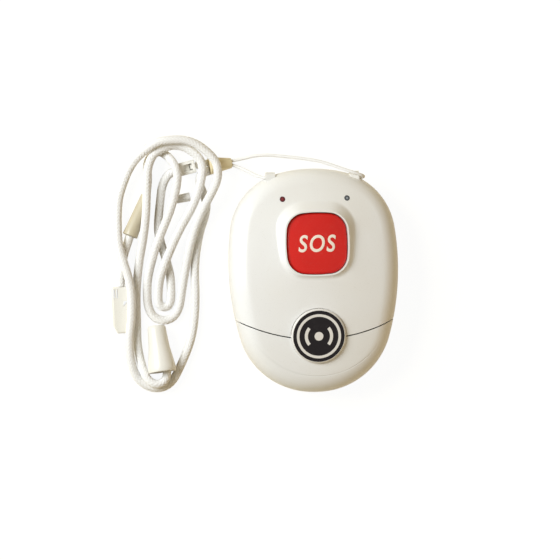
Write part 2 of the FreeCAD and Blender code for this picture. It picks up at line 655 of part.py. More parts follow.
board_body = new_body("BoardOutline")
pad(board_body, outline(board_body, "BoardEdge", "Sizes.board_inset", "Sizes.board_bottom"),
    "Sizes.board_thick")
board_window = box("BoardWindow", "60", "39.2", "4", "-30", "Sizes.bulkhead_y + 0.2", "6")
board_holes = fuse(
    "BoardHoles",
    cylinder("BoardHoleLeft", "1.3", "4", "-Sizes.screw_x", "Sizes.screw_y", "6"),
    cylinder("BoardHoleRight", "1.3", "4", "Sizes.screw_x", "Sizes.screw_y", "6"),
    cylinder("BoardHoleLower", "1.3", "4", "0", "Sizes.screw_low_y", "6"))
board_arc = cylinder("BoardArc", "Sizes.seam_arc - 1.5", "4", y="Sizes.seam_centre", z="6")
board_plain = common("BoardArched", common("BoardCropped", board_body, board_window), board_arc)
circuit_board = cut("CircuitBoard", board_plain, board_holes)
board_top = "Sizes.board_bottom + Sizes.board_thick"
alert_led = box("AlertLed", "1.6", "0.8", "0.8", "-Sizes.lens_x - 0.8", "Sizes.lens_y - 0.4",
                board_top)
status_led = box("StatusLed", "1.6", "0.8", "0.8", "Sizes.lens_x - 0.8",
                 "Sizes.lens_y - 0.4", board_top)
alert_lens = common("AlertLens", cylinder("AlertPipe", "Sizes.lens_radius", "9",
                                          "-Sizes.lens_x", "Sizes.lens_y",
                                          board_top + " + 0.8"), form)
status_lens = common("StatusLens", cylinder("StatusPipe", "Sizes.lens_radius", "9",
                                            "Sizes.lens_x", "Sizes.lens_y",
                                            board_top + " + 0.8"), form)
controller_chip = box("ControllerChip", "5", "4", "1.5", "-10.5", "-8", board_top)
radio_can = box("RadioCan", "4.7", "3.6", "1.2", "5.65", "-7.8", board_top)

# The antenna is a bowed wire on two feet, along the board's right edge.
loop = doc.addObject("Part::Torus", "AntennaBow")
bind(loop, Radius1="Sizes.side_arc - 3.6", Radius2="0.4", Angle3="16")
turned(loop, V(0, 0, 1), -8)
place(loop, "Sizes.body_width / 2 - Sizes.side_arc", "Sizes.widest_y", "8.9")
bow_radius = size("side_arc") - 3.6
foot_x = size("body_width") / 2 - size("side_arc") + bow_radius * math.cos(math.radians(7.7))
foot_y = bow_radius * math.sin(math.radians(7.7))
antenna_wire = fuse(
    "AntennaWire", loop,
    cylinder("AntennaFootLow", "0.4", "0.9", str(foot_x),
             "Sizes.widest_y - %f" % foot_y, board_top),
    cylinder("AntennaFootHigh", "0.4", "0.9", str(foot_x),
             "Sizes.widest_y + %f" % foot_y, board_top))

# Battery and contacts.
cell_body = new_body("BatteryCell")
cell_sketch = sketch_on(cell_body, "XZ_Plane", "CellProfile")
r = size("cell_radius")
end = size("cell_length")
profile(cell_sketch, [(0, 0), (r, 0), (r, end - 2.1), (r - 0.6, end - 1.5),
                      (1.5, end - 1.5), (1.5, end), (0, end)], bulge=2)
index = cell_sketch.addConstraint(Sketcher.Constraint("DistanceX", 0, 1, 0, 2, r))
named(cell_sketch, index, "cellRadius", "Sizes.cell_radius")
revolve(cell_body, cell_sketch)
turned(cell_body, V(0, 1, 0), 90)
place(cell_body, "Sizes.cell_left", "Sizes.cell_y", "Sizes.cell_z")
plus_contact = box("PlusContact", "0.4", "5", "6", "Sizes.cell_left + Sizes.cell_length",
                   "Sizes.cell_y - 2.5", "Sizes.cell_z - 3")
leaf = new_body("MinusLeaf")
leaf_sketch = sketch_on(leaf, "XY_Plane", "LeafProfile", x="Sizes.cell_left - 3",
                        y="Sizes.cell_y", z="Sizes.cell_z - 2.5")
open_angle = math.acos(1.1 / 3.0)
inner_angle = math.acos(1.1 / 2.7)
outer_arc = Part.ArcOfCircle(Part.Circle(V(), V(0, 0, 1), 3.0), -open_angle, open_angle)
inner_arc = Part.ArcOfCircle(Part.Circle(V(), V(0, 0, 1), 2.7), -inner_angle, inner_angle)
leaf_sketch.addGeometry(outer_arc, False)
leaf_sketch.addGeometry(Part.LineSegment(outer_arc.EndPoint, inner_arc.EndPoint), False)
leaf_sketch.addGeometry(inner_arc, False)
leaf_sketch.addGeometry(Part.LineSegment(inner_arc.StartPoint, outer_arc.StartPoint), False)
leaf_sketch.addConstraint(Sketcher.Constraint("Radius", 0, 3.0))
leaf_sketch.addConstraint(Sketcher.Constraint("Radius", 2, 2.7))
pad(leaf, leaf_sketch, "5")
leaf_plate = box("LeafPlate", "0.4", "6.2", "5", "Sizes.cell_left - 2",
                 "Sizes.cell_y - 3.1", "Sizes.cell_z - 2.5")
minus_contact = fuse("MinusContact", leaf, leaf_plate)


# Screws.
def screw(name, x, y):
    """Small pan-head screw standing in its counterbore from the back."""
    body = new_body(name)
    sketch = sketch_on(body, "XZ_Plane", name + "Profile")
    head, shank = size("screw_head"), size("screw_shank")
    profile(sketch, [(0, 0), (head, 0), (head, 1.3), (shank, 1.3), (shank, 11.6), (0, 12.1)])
    index = sketch.addConstraint(Sketcher.Constraint("DistanceX", 0, 1, 0, 2, head))
    named(sketch, index, "headRadius", "Sizes.screw_head")
    revolve(body, sketch)
    bar = box(name + "SlotX", "2.2", "0.5", "0.9", "-1.1", "-0.25", "-0.1")
    cross = box(name + "SlotY", "0.5", "2.2", "0.9", "-0.25", "-1.1", "-0.1")
    item = cut(name + "Done", body, fuse(name + "Recess", bar, cross))
    return place(item, x, y, "0.45")


screw_left = screw("ScrewLeft", "-Sizes.screw_x", "Sizes.screw_y")
screw_right = screw("ScrewRight", "Sizes.screw_x", "Sizes.screw_y")
screw_lower = screw("ScrewLower", "0", "Sizes.screw_low_y")


# Lanyard fittings.
def axis_place(item, start, end):
    """Stands an object that was made along Z from one point towards another."""
    way = V(*end) - V(*start)
    item.Placement = FreeCAD.Placement(V(*start), FreeCAD.Rotation(V(0, 0, 1), way))
    return way.Length


def cone(name, start, end, radius_start, radius_end):
    item = doc.addObject("Part::Cone", name)
    item.Radius1 = radius_start
    item.Radius2 = radius_end
    item.Height = axis_place(item, start, end)
    return item


ferrule_mouth = (-28.95, 33.5, 2.6)
ferrule_tip = (-22.5, 34.25, 2.0)
string_ferrule = cone("StringFerrule", ferrule_mouth, ferrule_tip, 2.6, 1.45)
cord_cone_tip = (-47.14, 25.33, 1.55)
cord_cone_mouth = (-52.1, 13.9, 2.2)
cord_cone = cone("CordCone", cord_cone_tip, cord_cone_mouth, 1.5, 2.2)

# Breakaway buckle: a socket on the inner cord and a tongue that ends in the ferrule.
buckle_way = FreeCAD.Rotation(V(1, 0, 0), V(-5.48, -1.31, 0))
socket_body = new_body("BuckleSocket")
socket_sketch = sketch_on(socket_body, "XY_Plane", "SocketOutline")
profile(socket_sketch, [(0, -1.85), (4.4, -1.85), (5.6, -1.3), (5.6, 1.3), (4.4, 1.85),
                        (0, 1.85)])
pad(socket_body, socket_sketch, "3.1")
socket_window = box("SocketWindow", "2.6", "1.9", "2", "0.9", "-0.95", "1.9")
socket_mouth = box("SocketMouth", "2.2", "2.3", "1.5", "-0.5", "-1.15", "0.8")
buckle_socket = cut("BuckleSocketDone", socket_body,
                    fuse("SocketTools", socket_window, socket_mouth))
buckle_socket.Placement = FreeCAD.Placement(V(-32.97, 33.62, 0), buckle_way)
tongue_body = new_body("BuckleTongue")
tongue_sketch = sketch_on(tongue_body, "XY_Plane", "TongueOutline")
tongue_length = math.hypot(-29.1 + 32.97, 34.45 - 33.62)
profile(tongue_sketch, [(-1.5, -0.7), (0.4, -0.7), (0.4, -1.0), (tongue_length, -0.85),
                        (tongue_length, 0.95), (0.4, 1.15), (0.4, 0.7), (-1.5, 0.7)])
pad(tongue_body, tongue_sketch, "1.3")
tongue_body.Placement = FreeCAD.Placement(
    V(-32.97, 33.62, 0.9), FreeCAD.Rotation(V(1, 0, 0), V(-29.1 + 32.97, 34.45 - 33.62, 0)))

# Flat clasp tongue with two slots and a small three-cornered window.
clasp_body = new_body("ClaspPlug")
clasp_sketch = sketch_on(clasp_body, "XY_Plane", "ClaspOutline")
profile(clasp_sketch, [(-2.1, 0), (2.1, 0), (2.6, -0.6), (2.6, -11.2), (1.6, -13.3),
                       (-1.6, -13.3), (-2.6, -11.2), (-2.6, -0.6)])
clasp_pad = pad(clasp_body, clasp_sketch, "2.2")
clasp_round = rounded(clasp_body, clasp_pad, "0.4",
                      lambda e: e.BoundBox.ZMin > 2.1 or e.BoundBox.ZMax < 0.1, "ClaspRound")
window_sketch = sketch_on(clasp_body, "XY_Plane", "ClaspWindow")
profile(window_sketch, [(0.5, -4.2), (1.9, -4.2), (0.5, -5.7)])
window = clasp_body.newObject("PartDesign::Pocket", "ClaspWindowCut")
window.Profile = window_sketch
window.Reversed = True
window.Length = 3
doc.recompute()
if window.Shape.Volume > clasp_round.Shape.Volume - 2:
    raise RuntimeError("the clasp's window was not cut")
slot_a = box("ClaspSlotA", "0.4", "2.4", "3", "-2.15", "-3.2", "-0.2")
slot_b = box("ClaspSlotB", "0.4", "2.4", "3", "-1.35", "-3.2", "-0.2")
clasp_plug = cut("ClaspPlugDone", clasp_body, fuse("ClaspSlots", slot_a, slot_b))
clasp_plug.Placement = FreeCAD.Placement(
    V(-55.1, -0.6, 0), FreeCAD.Rotation(V(0, -1, 0), V(0.55, -13.3, 0)))

# Bell-shaped joiner, open at its wide end, where the inner cord ends.
bell_top = (-45.2, -12.0, 2.65)
bell_mouth = (-43.77, -25.2, 4.1)
bell_body = new_body("BellJoiner")
bell_sketch = sketch_on(bell_body, "XZ_Plane", "BellProfile")
bell_length = V(*bell_mouth).distanceToPoint(V(*bell_top))
profile(bell_sketch, [(0, 0), (2.2, 0), (2.6, 0.5), (3.0, 6.0), (4.0, bell_length - 1.2),
                      (4.0, bell_length), (2.9, bell_length), (2.7, bell_length - 2.4),
                      (0, bell_length - 2.4)])
revolve(bell_body, bell_sketch)
axis_place(bell_body, bell_top, bell_mouth)

# Cords.
ROUTES = {
    "neck_cord_inner": [
        (-38.45, 32.3, 1.6), (-40.5, 31.8, 1.6), (-42.5, 28.3, 1.4), (-43.1, 24.2, 1.3),
        (-44.1, 16.2, 1.3), (-43.4, 12.2, 1.3), (-41.0, 4.1, 1.3), (-40.5, 0.1, 1.3),
        (-40.7, -6.8, 1.3), (-44.5, -6.7, 1.3), (-44.1, 0.1, 2.0), (-43.1, 3.8, 3.6),
        (-41.7, 7.5, 4.0), (-38.1, 15.2, 3.9), (-33.2, 23.1, 4.0), (-30.7, 32.0, 4.7),
        (-31.8, 36.3, 4.7), (-38.0, 40.2, 3.9), (-44.6, 37.8, 4.0), (-46.5, 34.1, 4.1),
        (-47.1, 29.5, 4.4), (-47.4, 20.6, 4.8), (-48.3, 13.4, 3.7), (-49.7, 6.0, 1.5),
        (-50.7, -2.6, 1.3), (-50.6, -11.8, 1.3), (-50.7, -16.1, 1.3), (-50.2, -20.1, 1.3),
        (-49.4, -23.8, 1.9), (-48.3, -27.2, 3.2), (-45.9, -28.9, 3.9), (-43.3, -28.2, 3.9),
        (-42.2, -25.6, 3.9), (-42.85, -22.85, 3.8)],
    "neck_cord_outer": [
        (-28.85, 32.1, 2.1), (-31.25, 31.7, 1.95), (-31.9, 28.8, 1.4), (-30.7, 25.8, 1.3),
        (-29.7, 22.5, 1.3), (-30.4, 18.8, 1.3), (-32.1, 14.5, 1.3), (-33.8, 5.1, 1.3),
        (-33.5, -5.3, 1.3), (-34.7, -15.6, 1.3), (-38.6, -24.4, 1.3), (-41.2, -28.8, 1.3),
        (-45.0, -30.2, 1.3), (-48.9, -29.0, 1.3), (-51.9, -25.6, 1.4), (-53.3, -17.2, 3.3),
        (-52.1, -8.6, 3.9), (-52.2, 0.0, 3.9), (-54.9, 8.7, 3.9), (-55.7, 13.0, 3.4),
        (-55.5, 22.2, 2.4), (-54.6, 26.8, 2.4), (-51.2, 35.0, 3.2), (-45.2, 39.9, 5.5),
        (-41.7, 41.0, 6.4), (-34.2, 40.9, 6.7), (-27.8, 35.8, 6.7), (-26.6, 31.9, 6.5),
        (-27.3, 27.9, 5.7), (-31.4, 20.8, 4.1), (-34.7, 12.6, 3.6), (-37.3, -0.9, 1.5),
        (-38.5, -8.3, 1.3), (-41.8, -10.8, 1.3), (-45.7, -9.9, 1.3), (-47.4, -6.5, 1.3),
        (-47.5, -2.1, 1.3), (-47.2, 2.2, 1.5), (-45.1, 9.9, 3.5), (-43.5, 13.9, 3.9),
        (-40.0, 21.9, 3.9), (-38.0, 30.0, 4.7), (-38.9, 33.8, 4.7), (-40.7, 36.5, 2.2),
        (-43.1, 38.1, 1.3), (-45.5, 37.1, 1.3), (-46.8, 34.1, 1.3), (-46.4, 29.9, 1.4),
        (-47.14, 25.4, 1.55)],
    "link_cord": [
        (-52.1, 13.9, 2.2), (-53.4, 10.3, 1.5), (-54.9, 4.8, 1.3), (-55.1, -0.6, 1.3)],
    "cord_tail": [
        (-40.4, 24.2, 1.3), (-38.9, 24.1, 1.3), (-36.9, 24.4, 1.3), (-34.6, 24.8, 1.3)],
    "string_loop": [
        (-22.45, 34.8, 2.1), (-19.8, 35.3, 3.0), (-14.0, 36.5, 5.0), (-5.7, 35.4, 7.1),
        (1.8, 34.3, 8.6), (8.2, 31.9, 10.3), (12.2, 30.5, 11.2), (15.2, 29.5, 10.6),
        (15.4, 29.2, 8.8), (12.0, 29.1, 8.5), (5.0, 29.3, 8.7), (-5.0, 29.15, 8.5),
        (-12.0, 29.25, 8.6), (-15.6, 30.0, 7.8), (-19.0, 32.2, 5.0), (-22.35, 33.75, 2.1)],
}


def cord(node, diameter):
    """Tube of a many-sided section swept along straight runs joined by tangent arcs."""
    points = [V(*p) for p in ROUTES[node]]
    sides = 8 if diameter > 1 else 6
    corner = 0.5 * diameter
    way = (points[1] - points[0]).normalize()
    across = way.cross(V(0, 0, 1)).normalize()
    upward = across.cross(way)
    ring = []
    for k in range(sides):
        angle = 2 * math.pi * (k + 0.5) / sides
        ring.append(points[0] + (across * math.cos(angle) + upward * math.sin(angle)) * corner)
    edges = [Part.LineSegment(ring[k], ring[(k + 1) % sides]).toShape() for k in range(sides)]
    faces = [Part.Face(Part.Wire(edges))]
    section = faces[0].Area
    at = points[0]
    length = 0.0
    radii = []
    for n in range(1, len(points)):
        before = points[n] - points[n - 1]
        into = V(before).normalize()
        last = n == len(points) - 1
        if last:
            stop = points[n]
        else:
            after = points[n + 1] - points[n]
            turn = before.getAngle(after)
            back = 0.45 * min(before.Length, after.Length)
            bend = back / math.tan(turn / 2)
            stop = points[n] - into * back
        run = stop - at
        length += run.Length
        faces.extend(edge.extrude(run) for edge in edges)
        edges = [edge.translated(run) for edge in edges]
        if last:
            break
        out = V(after).normalize()
        axis = into.cross(out).normalize()
        centre = stop + axis.cross(into) * bend
        faces.extend(edge.revolve(centre, axis, math.degrees(turn)) for edge in edges)
        edges = [edge.rotated(centre, axis, math.degrees(turn)) for edge in edges]
        length += bend * turn
        radii.append(bend)
        at = points[n] + out * back
    faces.append(Part.Face(Part.Wire(edges)))
    shell = Part.makeShell(faces)
    shell.sewShape(0.001)
    shape = Part.makeSolid(shell)
    if shape.Volume < 0:
        shape.reverse()
    if not shape.isValid():
        raise RuntimeError(node + ": the tube is not valid")
    print("%s: length %.1f, volume %.1f of %.1f, smallest radii %s" % (
        node, length, shape.Volume, section * length, [round(x, 1) for x in sorted(radii)[:4]]))
    return solid(node, shape)


cords = {node: cord(node, size("string_size" if node == "string_loop" else "cord_size"))
         for node in ROUTES}

# Names and export.
NODES = {
    "front_shell": front_shell,
    "rear_shell": rear_shell,
    "battery_cap": battery_cap,
    "badge_disc": badge_body,
    "badge_inlay": inlay,
    "button_cap": button_cap,
    "switch_body": switch_body,
    "switch_plunger": switch_plunger,
    "circuit_board": circuit_board,
    "alert_light_lens": alert_lens,
    "status_light_lens": status_lens,
    "alert_led": alert_led,
    "status_led": status_led,
    "controller_chip": controller_chip,
    "radio_can": radio_can,
    "antenna_wire": antenna_wire,
    "battery_cell": cell_body,
    "battery_contact_negative": minus_contact,
    "battery_contact_positive": plus_contact,
    "screw_left": screw_left,
    "screw_right": screw_right,
    "screw_lower": screw_lower,
    "string_ferrule": string_ferrule,
    "buckle_socket": buckle_socket,
    "buckle_plug": tongue_body,
    "cord_cap": cord_cone,
    "clasp_plug": clasp_plug,
    "bell_joiner": bell_body,
}
NODES.update(cords)
doc.recompute()
faults = []
for item in doc.Objects:
    if "Invalid" in item.State or "Error" in item.State:
        faults.append(item.Name + ": " + " ".join(item.State))
for node, item in NODES.items():
    item.Label = node
    shape = item.Shape
    if shape.isNull() or not shape.isValid():
        faults.append(node + ": shape not valid")
    elif len(shape.Solids) != 1:
        faults.append("%s: %d solids" % (node, len(shape.Solids)))
if faults:
    raise RuntimeError("; ".join(faults))
for node, item in NODES.items():
    item.Shape.exportStep("parts/%s.step" % node)
print(len(NODES), "sub-parts written")
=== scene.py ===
import json
import math

import bpy
from mathutils import Matrix, Vector

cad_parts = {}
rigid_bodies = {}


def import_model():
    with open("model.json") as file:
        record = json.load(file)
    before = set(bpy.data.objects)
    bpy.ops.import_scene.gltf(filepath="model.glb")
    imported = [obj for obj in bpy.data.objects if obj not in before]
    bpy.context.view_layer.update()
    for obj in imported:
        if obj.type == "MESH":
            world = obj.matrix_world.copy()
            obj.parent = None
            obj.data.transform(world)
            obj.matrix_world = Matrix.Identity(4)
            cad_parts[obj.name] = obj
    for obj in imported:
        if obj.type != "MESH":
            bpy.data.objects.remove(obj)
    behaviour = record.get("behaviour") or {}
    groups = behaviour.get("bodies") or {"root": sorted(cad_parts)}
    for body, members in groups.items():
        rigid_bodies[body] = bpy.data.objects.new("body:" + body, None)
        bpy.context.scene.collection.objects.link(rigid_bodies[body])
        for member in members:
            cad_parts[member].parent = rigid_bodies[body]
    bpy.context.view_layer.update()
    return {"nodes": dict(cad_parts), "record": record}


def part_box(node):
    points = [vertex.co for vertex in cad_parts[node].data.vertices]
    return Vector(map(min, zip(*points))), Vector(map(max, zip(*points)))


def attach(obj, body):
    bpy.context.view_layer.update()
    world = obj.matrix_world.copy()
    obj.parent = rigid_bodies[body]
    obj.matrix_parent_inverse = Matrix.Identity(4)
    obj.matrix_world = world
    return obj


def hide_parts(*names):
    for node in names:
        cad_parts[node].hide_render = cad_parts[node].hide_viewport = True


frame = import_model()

bl_info = {
    "name": "Wireless Panic Button",
    "version": (1, 0, 0),
    "blender": (4, 5, 0),
    "location": "3D View > Sidebar > Panic Button",
    "description": "Finishes a pocket panic button with its woven neck cord",
    "category": "Object",
}

BODY_OF = {}
for body_name, members in frame["record"]["behaviour"]["bodies"].items():
    for member in members:
        BODY_OF[member] = body_name

# Cleaning of packed meshes: lengths in metres, angles in radians.
WELD = 0.000002               # vertices nearer than this become one
LEVEL = math.radians(0.4)     # faces that differ by less become one
STEEP = math.radians(38)      # edges steeper than this are rounded
FLAT_SIDED = math.radians(32)     # edges up to this look smooth on a flat-sided piece
ROUND_SIDED = math.radians(42)    # the same on a round one

# Scales of the noise in moulded plastic, per metre.
CLOUDS, RUBS, RIPPLE, SPECKS = 38.0, 230.0, 2400.0, 5200.0

# Faint crease in the battery cover.
CREASE_X = 0.0002
CREASE_EDGE = (0.00003, 0.00016)
CREASE_ENDS = (-0.0170, -0.0215)
CREASE_FRONT = (0.0075, 0.0095)
CREASE_DEPTH = 0.00006

# Letters on the button.
LETTER_WEIGHT = 0.017
LETTER_SPACING = 1.16
LETTER_CURVES = 5             # steps in each of their curves
LETTER_CUTS = 2               # extra cuts, so that they follow the button's dome
LETTER_WELD = 0.000004
ABOVE_BUTTON = 0.001          # from here they are laid down on the button

# Print on the badge.
INLAY_THICKNESS = 0.0003
PRINT_EDGE = 0.00004
ARC_OPENING = 1.15            # how steeply the two arcs are cut off

# Light windows and the cell.
CORE_EDGE = (0.00012, 0.00052)    # where a window's core fades into its rim
WINDOW_ROUND = 0.00006
BAND_START = (-0.0085, -0.0083)   # dark band printed round the cell
BAND_END = (0.0105, 0.0107)

# Braids.
MM = 0.001                    # the routes are written in millimetres
LINE_STEPS = 20               # points read along each part of a route's spline
CORD_STRANDS, CORD_SIDES, CORD_STEP = 8, 44, 0.00019
STRING_STRANDS, STRING_SIDES, STRING_STEP = 4, 20, 0.00014
STRAND_DEPTH = 0.085          # share of the width by which a strand stands out
STRAND_ARCH, STRAND_DIVE = 0.62, 0.38
FIBRES = 4                    # fibres drawn across a strand

# Stage.
FLOOR_SIZE = 6.0
FLOOR_BELOW = 0.00004
FLOOR_WHITE = 0.80            # share of plain white that the camera sees there
FLOOR_MIRRORED = 0.35         # the same in reflections
GLOW = 1.18
GLOW_COLOUR = (0.97, 0.985, 1.0, 1.0)
SKY_COLOUR = (1.0, 0.84, 0.54, 1.0)
WHITE = (1.0, 1.0, 1.0, 1.0)
LAMPS_AIM = (-0.01, 0.0, 0.0)
FILM_WIDTH = 36.0
NEAREST = 0.01


# Sizes and colours that a user would change, one group for each operator.
def colour_property(label, description, default):
    return bpy.props.FloatVectorProperty(
        name=label, description=description, default=default, subtype="COLOR", size=3,
        min=0.0, max=1.0)


def length_property(label, description, default):
    return bpy.props.FloatProperty(
        name=label, description=description, default=default, unit="LENGTH", precision=5)


class HousingLook(bpy.types.PropertyGroup):
    """Moulded housing"""
    plastic: colour_property("Plastic", "Colour of the moulded housing", (0.89, 0.885, 0.87))
    warm: colour_property("Warm tone", "Slightly yellowed tone in broad patches",
                          (0.87, 0.85, 0.80))
    roughness: bpy.props.FloatProperty(
        name="Roughness", description="Roughness of the satin moulding", default=0.27)
    grain: length_property("Grain", "Depth of the moulding's fine surface ripple", 0.000012)
    crease_radius: length_property("Crease radius", "Radius of the cover's faint crease",
                                   0.0211)
    crease_y: length_property("Crease centre", "Middle of the crease along the body", -0.0062)


class ButtonLook(bpy.types.PropertyGroup):
    """Pressed button and its letters"""
    red: colour_property("Button red", "Colour of the button's cap", (0.72, 0.018, 0.012))
    deep: colour_property("Deep red", "Shade in the button's tone", (0.52, 0.010, 0.008))
    letters: colour_property("Letters", "Colour of the raised letters", (0.97, 0.87, 0.76))
    letter_width: length_property("Letters' width", "Width of the word", 0.0107)
    letter_height: length_property("Letters' height", "Height of the capitals", 0.0049)
    letter_relief: length_property("Relief", "How far the letters stand out", 0.00008)
    letter_slant: bpy.props.FloatProperty(
        name="Slant", description="Shear of the letters", default=0.17)


class BadgeLook(bpy.types.PropertyGroup):
    """Round badge"""
    ground: colour_property("Disc", "Colour of the disc and of the drawn lines",
                            (0.84, 0.81, 0.77))
    ink: colour_property("Print", "Colour of the printed area", (0.012, 0.009, 0.010))
    ring_radius: length_property("Ring radius", "Middle of the drawn outer ring", 0.00595)
    ring_width: length_property("Ring width", "Width of the drawn outer ring", 0.00075)
    arc_radius: length_property("Arc radius", "Middle of the two drawn arcs", 0.0036)
    arc_width: length_property("Arc width", "Width of the two drawn arcs", 0.0009)
    dot_radius: length_property("Dot radius", "Radius of the middle dot", 0.00125)


class LanyardLook(bpy.types.PropertyGroup):
    """Woven cords"""
    yarn: colour_property("Yarn", "Colour of the woven yarn", (0.96, 0.955, 0.945))
    # Painted shade laid between the strands; a deeper copy of it also colours the soil.
    gap_shade_and_soil: colour_property("Between strands", "Tone between the strands", (0.86, 0.815, 0.765))
    cord_width: length_property("Cord", "Diameter of the neck cord", 0.0025)
    string_width: length_property("String", "Diameter of the thin string", 0.0009)
    cord_pitch: length_property("Braid pitch", "Length of one crossing of the cord", 0.00105)
    string_pitch: length_property("String pitch", "Length of one crossing of the string",
                                  0.00062)


class FittingLook(bpy.types.PropertyGroup):
    """Moulded fittings on the cord"""
    plastic: colour_property("Plastic", "Colour of the fittings", (0.89, 0.87, 0.81))
    amber: colour_property("Ferrule", "Colour of the ferrule at the string",
                           (0.92, 0.80, 0.52))
    tan: colour_property("Cone", "Colour of the cone beside the clasp", (0.62, 0.56, 0.42))
    edge: length_property("Edge round", "Rounding of the fittings' edges", 0.00012)


class StageLook(bpy.types.PropertyGroup):
    """Floor, lights and camera"""
    floor: colour_property("Floor", "Colour of the floor", (0.82, 0.71, 0.47))
    lens: bpy.props.FloatProperty(
        name="Lens", description="Focal length in millimetres", default=170.0)
    away: length_property("Distance", "Camera's distance from the object", 0.758)
    lean: bpy.props.FloatProperty(
        name="Lean", description="How far the camera leans to the left",
        default=math.radians(6.5), subtype="ANGLE")
    roll: bpy.props.FloatProperty(
        name="Roll", description="How far the camera is rolled",
        default=math.radians(1.3), subtype="ANGLE")
    look_x: length_property("Aim X", "Point that the camera looks at", -0.0096)
    look_y: length_property("Aim Y", "Point that the camera looks at", 0.0003)
    look_z: length_property("Aim Z", "Point that the camera looks at", 0.006)
    key_power: bpy.props.FloatProperty(
        name="Key", description="Power of the large light", default=5.3, unit="POWER")
    fill_power: bpy.props.FloatProperty(
        name="Fill", description="Power of the weak light", default=0.46, unit="POWER")
    sky: bpy.props.FloatProperty(
        name="Sky", description="Strength of the even light", default=0.255)


# Materials.
class Value:
    """Number in a finish: arithmetic on it adds Math nodes."""

    def __init__(self, finish, socket):
        self.finish = finish
        self.socket = socket

    def math(self, operation, *values):
        return self.finish.add("ShaderNodeMath", {"operation": operation},
                               dict(enumerate(values)))

    def __add__(self, other):
        return self.math("ADD", self, other)

    __radd__ = __add__

    def __sub__(self, other):
        return self.math("SUBTRACT", self, other)

    def __rsub__(self, other):
        return self.math("SUBTRACT", other, self)

    def __mul__(self, other):
        return self.math("MULTIPLY", self, other)

    def __pow__(self, other):
        return self.math("POWER", self, other)

    def __mod__(self, other):
        return self.math("FLOORED_MODULO", self, other)

    def __abs__(self):
        return self.math("ABSOLUTE", self)

    def __lt__(self, other):
        return self.math("LESS_THAN", self, other)

    def at_least(self, other):
        return self.math("MAXIMUM", self, other)

    def floor(self):
        return self.math("FLOOR", self)

    def part(self):
        return self.math("FRACT", self)

    def root(self):
        return self.math("SQRT", self)

    def wave(self):
        return self.math("SINE", self)

    def between(self, low, high):
        """0 below low, 1 above high, smooth between."""
        return self.finish.add(
            "ShaderNodeMapRange", {"interpolation_type": "SMOOTHSTEP"},
            {"Value": self, "From Min": low, "From Max": high, "To Min": 0.0, "To Max": 1.0})


class Finish:
    """One procedural material."""

    def __init__(self, name):
        self.material = bpy.data.materials.new(name)
        self.material.use_nodes = True
        self.nodes = self.material.node_tree.nodes
        self.links = self.material.node_tree.links
        self.shader = self.nodes["Principled BSDF"]
        self.bumped = None

    def add(self, kind, settings=None, inputs=None, output=0):
        """Adds one node and returns its output."""
        node = self.nodes.new(kind)
        for key, value in (settings or {}).items():
            setattr(node, key, value)
        for key, value in (inputs or {}).items():
            self.plug(node.inputs[key], value)
        return Value(self, node.outputs[output])

    def plug(self, socket, value):
        """Links another node's output to a socket, or writes a constant on it."""
        if isinstance(value, Value):
            self.links.new(value.socket, socket)
        elif socket.type == "RGBA":
            socket.default_value = (*value, 1.0)
        else:
            socket.default_value = value

    def set(self, **values):
        """Sets the shader's sockets, named with _ for a space."""
        for key, value in values.items():
            self.plug(self.shader.inputs[key.replace("_", " ")], value)

    def place(self):
        """Object coordinates as a vector."""
        return self.add("ShaderNodeTexCoord", output="Object")

    def axes(self, vector=None):
        """The three numbers of a vector."""
        split = self.nodes.new("ShaderNodeSeparateXYZ")
        self.plug(split.inputs[0], vector or self.place())
        return [Value(self, socket) for socket in split.outputs]

    def along(self):
        """The two numbers of the piece's own UV map."""
        return self.axes(self.add("ShaderNodeUVMap", {"uv_map": "lay"}))[:2]

    def noise(self, scale, detail=2.0, roughness=0.5, stretch=None):
        """Noise over the object, drawn out along an axis if stretched."""
        where = self.place()
        if stretch:
            where = self.add("ShaderNodeVectorMath", {"operation": "MULTIPLY"},
                             {0: where, 1: stretch})
        return self.add("ShaderNodeTexNoise", None,
                        {"Vector": where, "Scale": scale, "Detail": detail,
                         "Roughness": roughness})

    def mix(self, factor, first, second):
        """Colour between two colours."""
        return self.add("ShaderNodeMix", {"data_type": "RGBA"},
                        {0: factor, 6: first, 7: second}, output=2)

    def relief(self, height, depth):
        """Bumps the surface, on top of any earlier relief."""
        inputs = {"Strength": 1.0, "Distance": depth, "Height": height}
        if self.bumped:
            inputs["Normal"] = self.bumped
        self.bumped = self.add("ShaderNodeBump", None, inputs)
        self.plug(self.shader.inputs["Normal"], self.bumped)


def moulded(name, colour, warm, roughness, grain, coat=0.12, shine=0.40):
    """Satin moulded plastic: broad tone, fine ripple, a few dull rubs and specks."""
    finish = Finish(name)
    broad = finish.noise(CLOUDS, 3.0)
    rubs = finish.noise(RUBS, 4.0, 0.62, stretch=(1.0, 0.35, 1.0))
    ripple = finish.noise(RIPPLE, 2.0)
    specks = finish.noise(SPECKS, 0.0).between(0.76, 0.80)
    tone = finish.mix(broad.between(0.38, 0.72) * 0.55, colour, warm)
    finish.set(
        Base_Color=finish.mix(specks * 0.22, tone, (0.45, 0.40, 0.32)),
        Roughness=roughness + rubs.between(0.52, 0.74) * 0.10 + ripple * 0.04,
        Coat_Weight=coat - rubs.between(0.5, 0.8) * coat * 0.5,
        Coat_Roughness=0.12,
        Specular_IOR_Level=shine,
        IOR=1.49)
    finish.relief(ripple, grain)
    return finish


def metal(name, colour, dark, roughness, stretch, scale=900.0):
    """Drawn or plated metal with fine lines and a little tarnish."""
    finish = Finish(name)
    lines = finish.noise(scale, 3.0, stretch=stretch)
    stain = finish.noise(160.0, 4.0, 0.6)
    finish.set(
        Base_Color=finish.mix(stain.between(0.45, 0.75) * 0.6, colour, dark),
        Metallic=1.0,
        Roughness=roughness + lines * 0.14 + stain * 0.06)
    finish.relief(lines, 0.000006)
    return finish


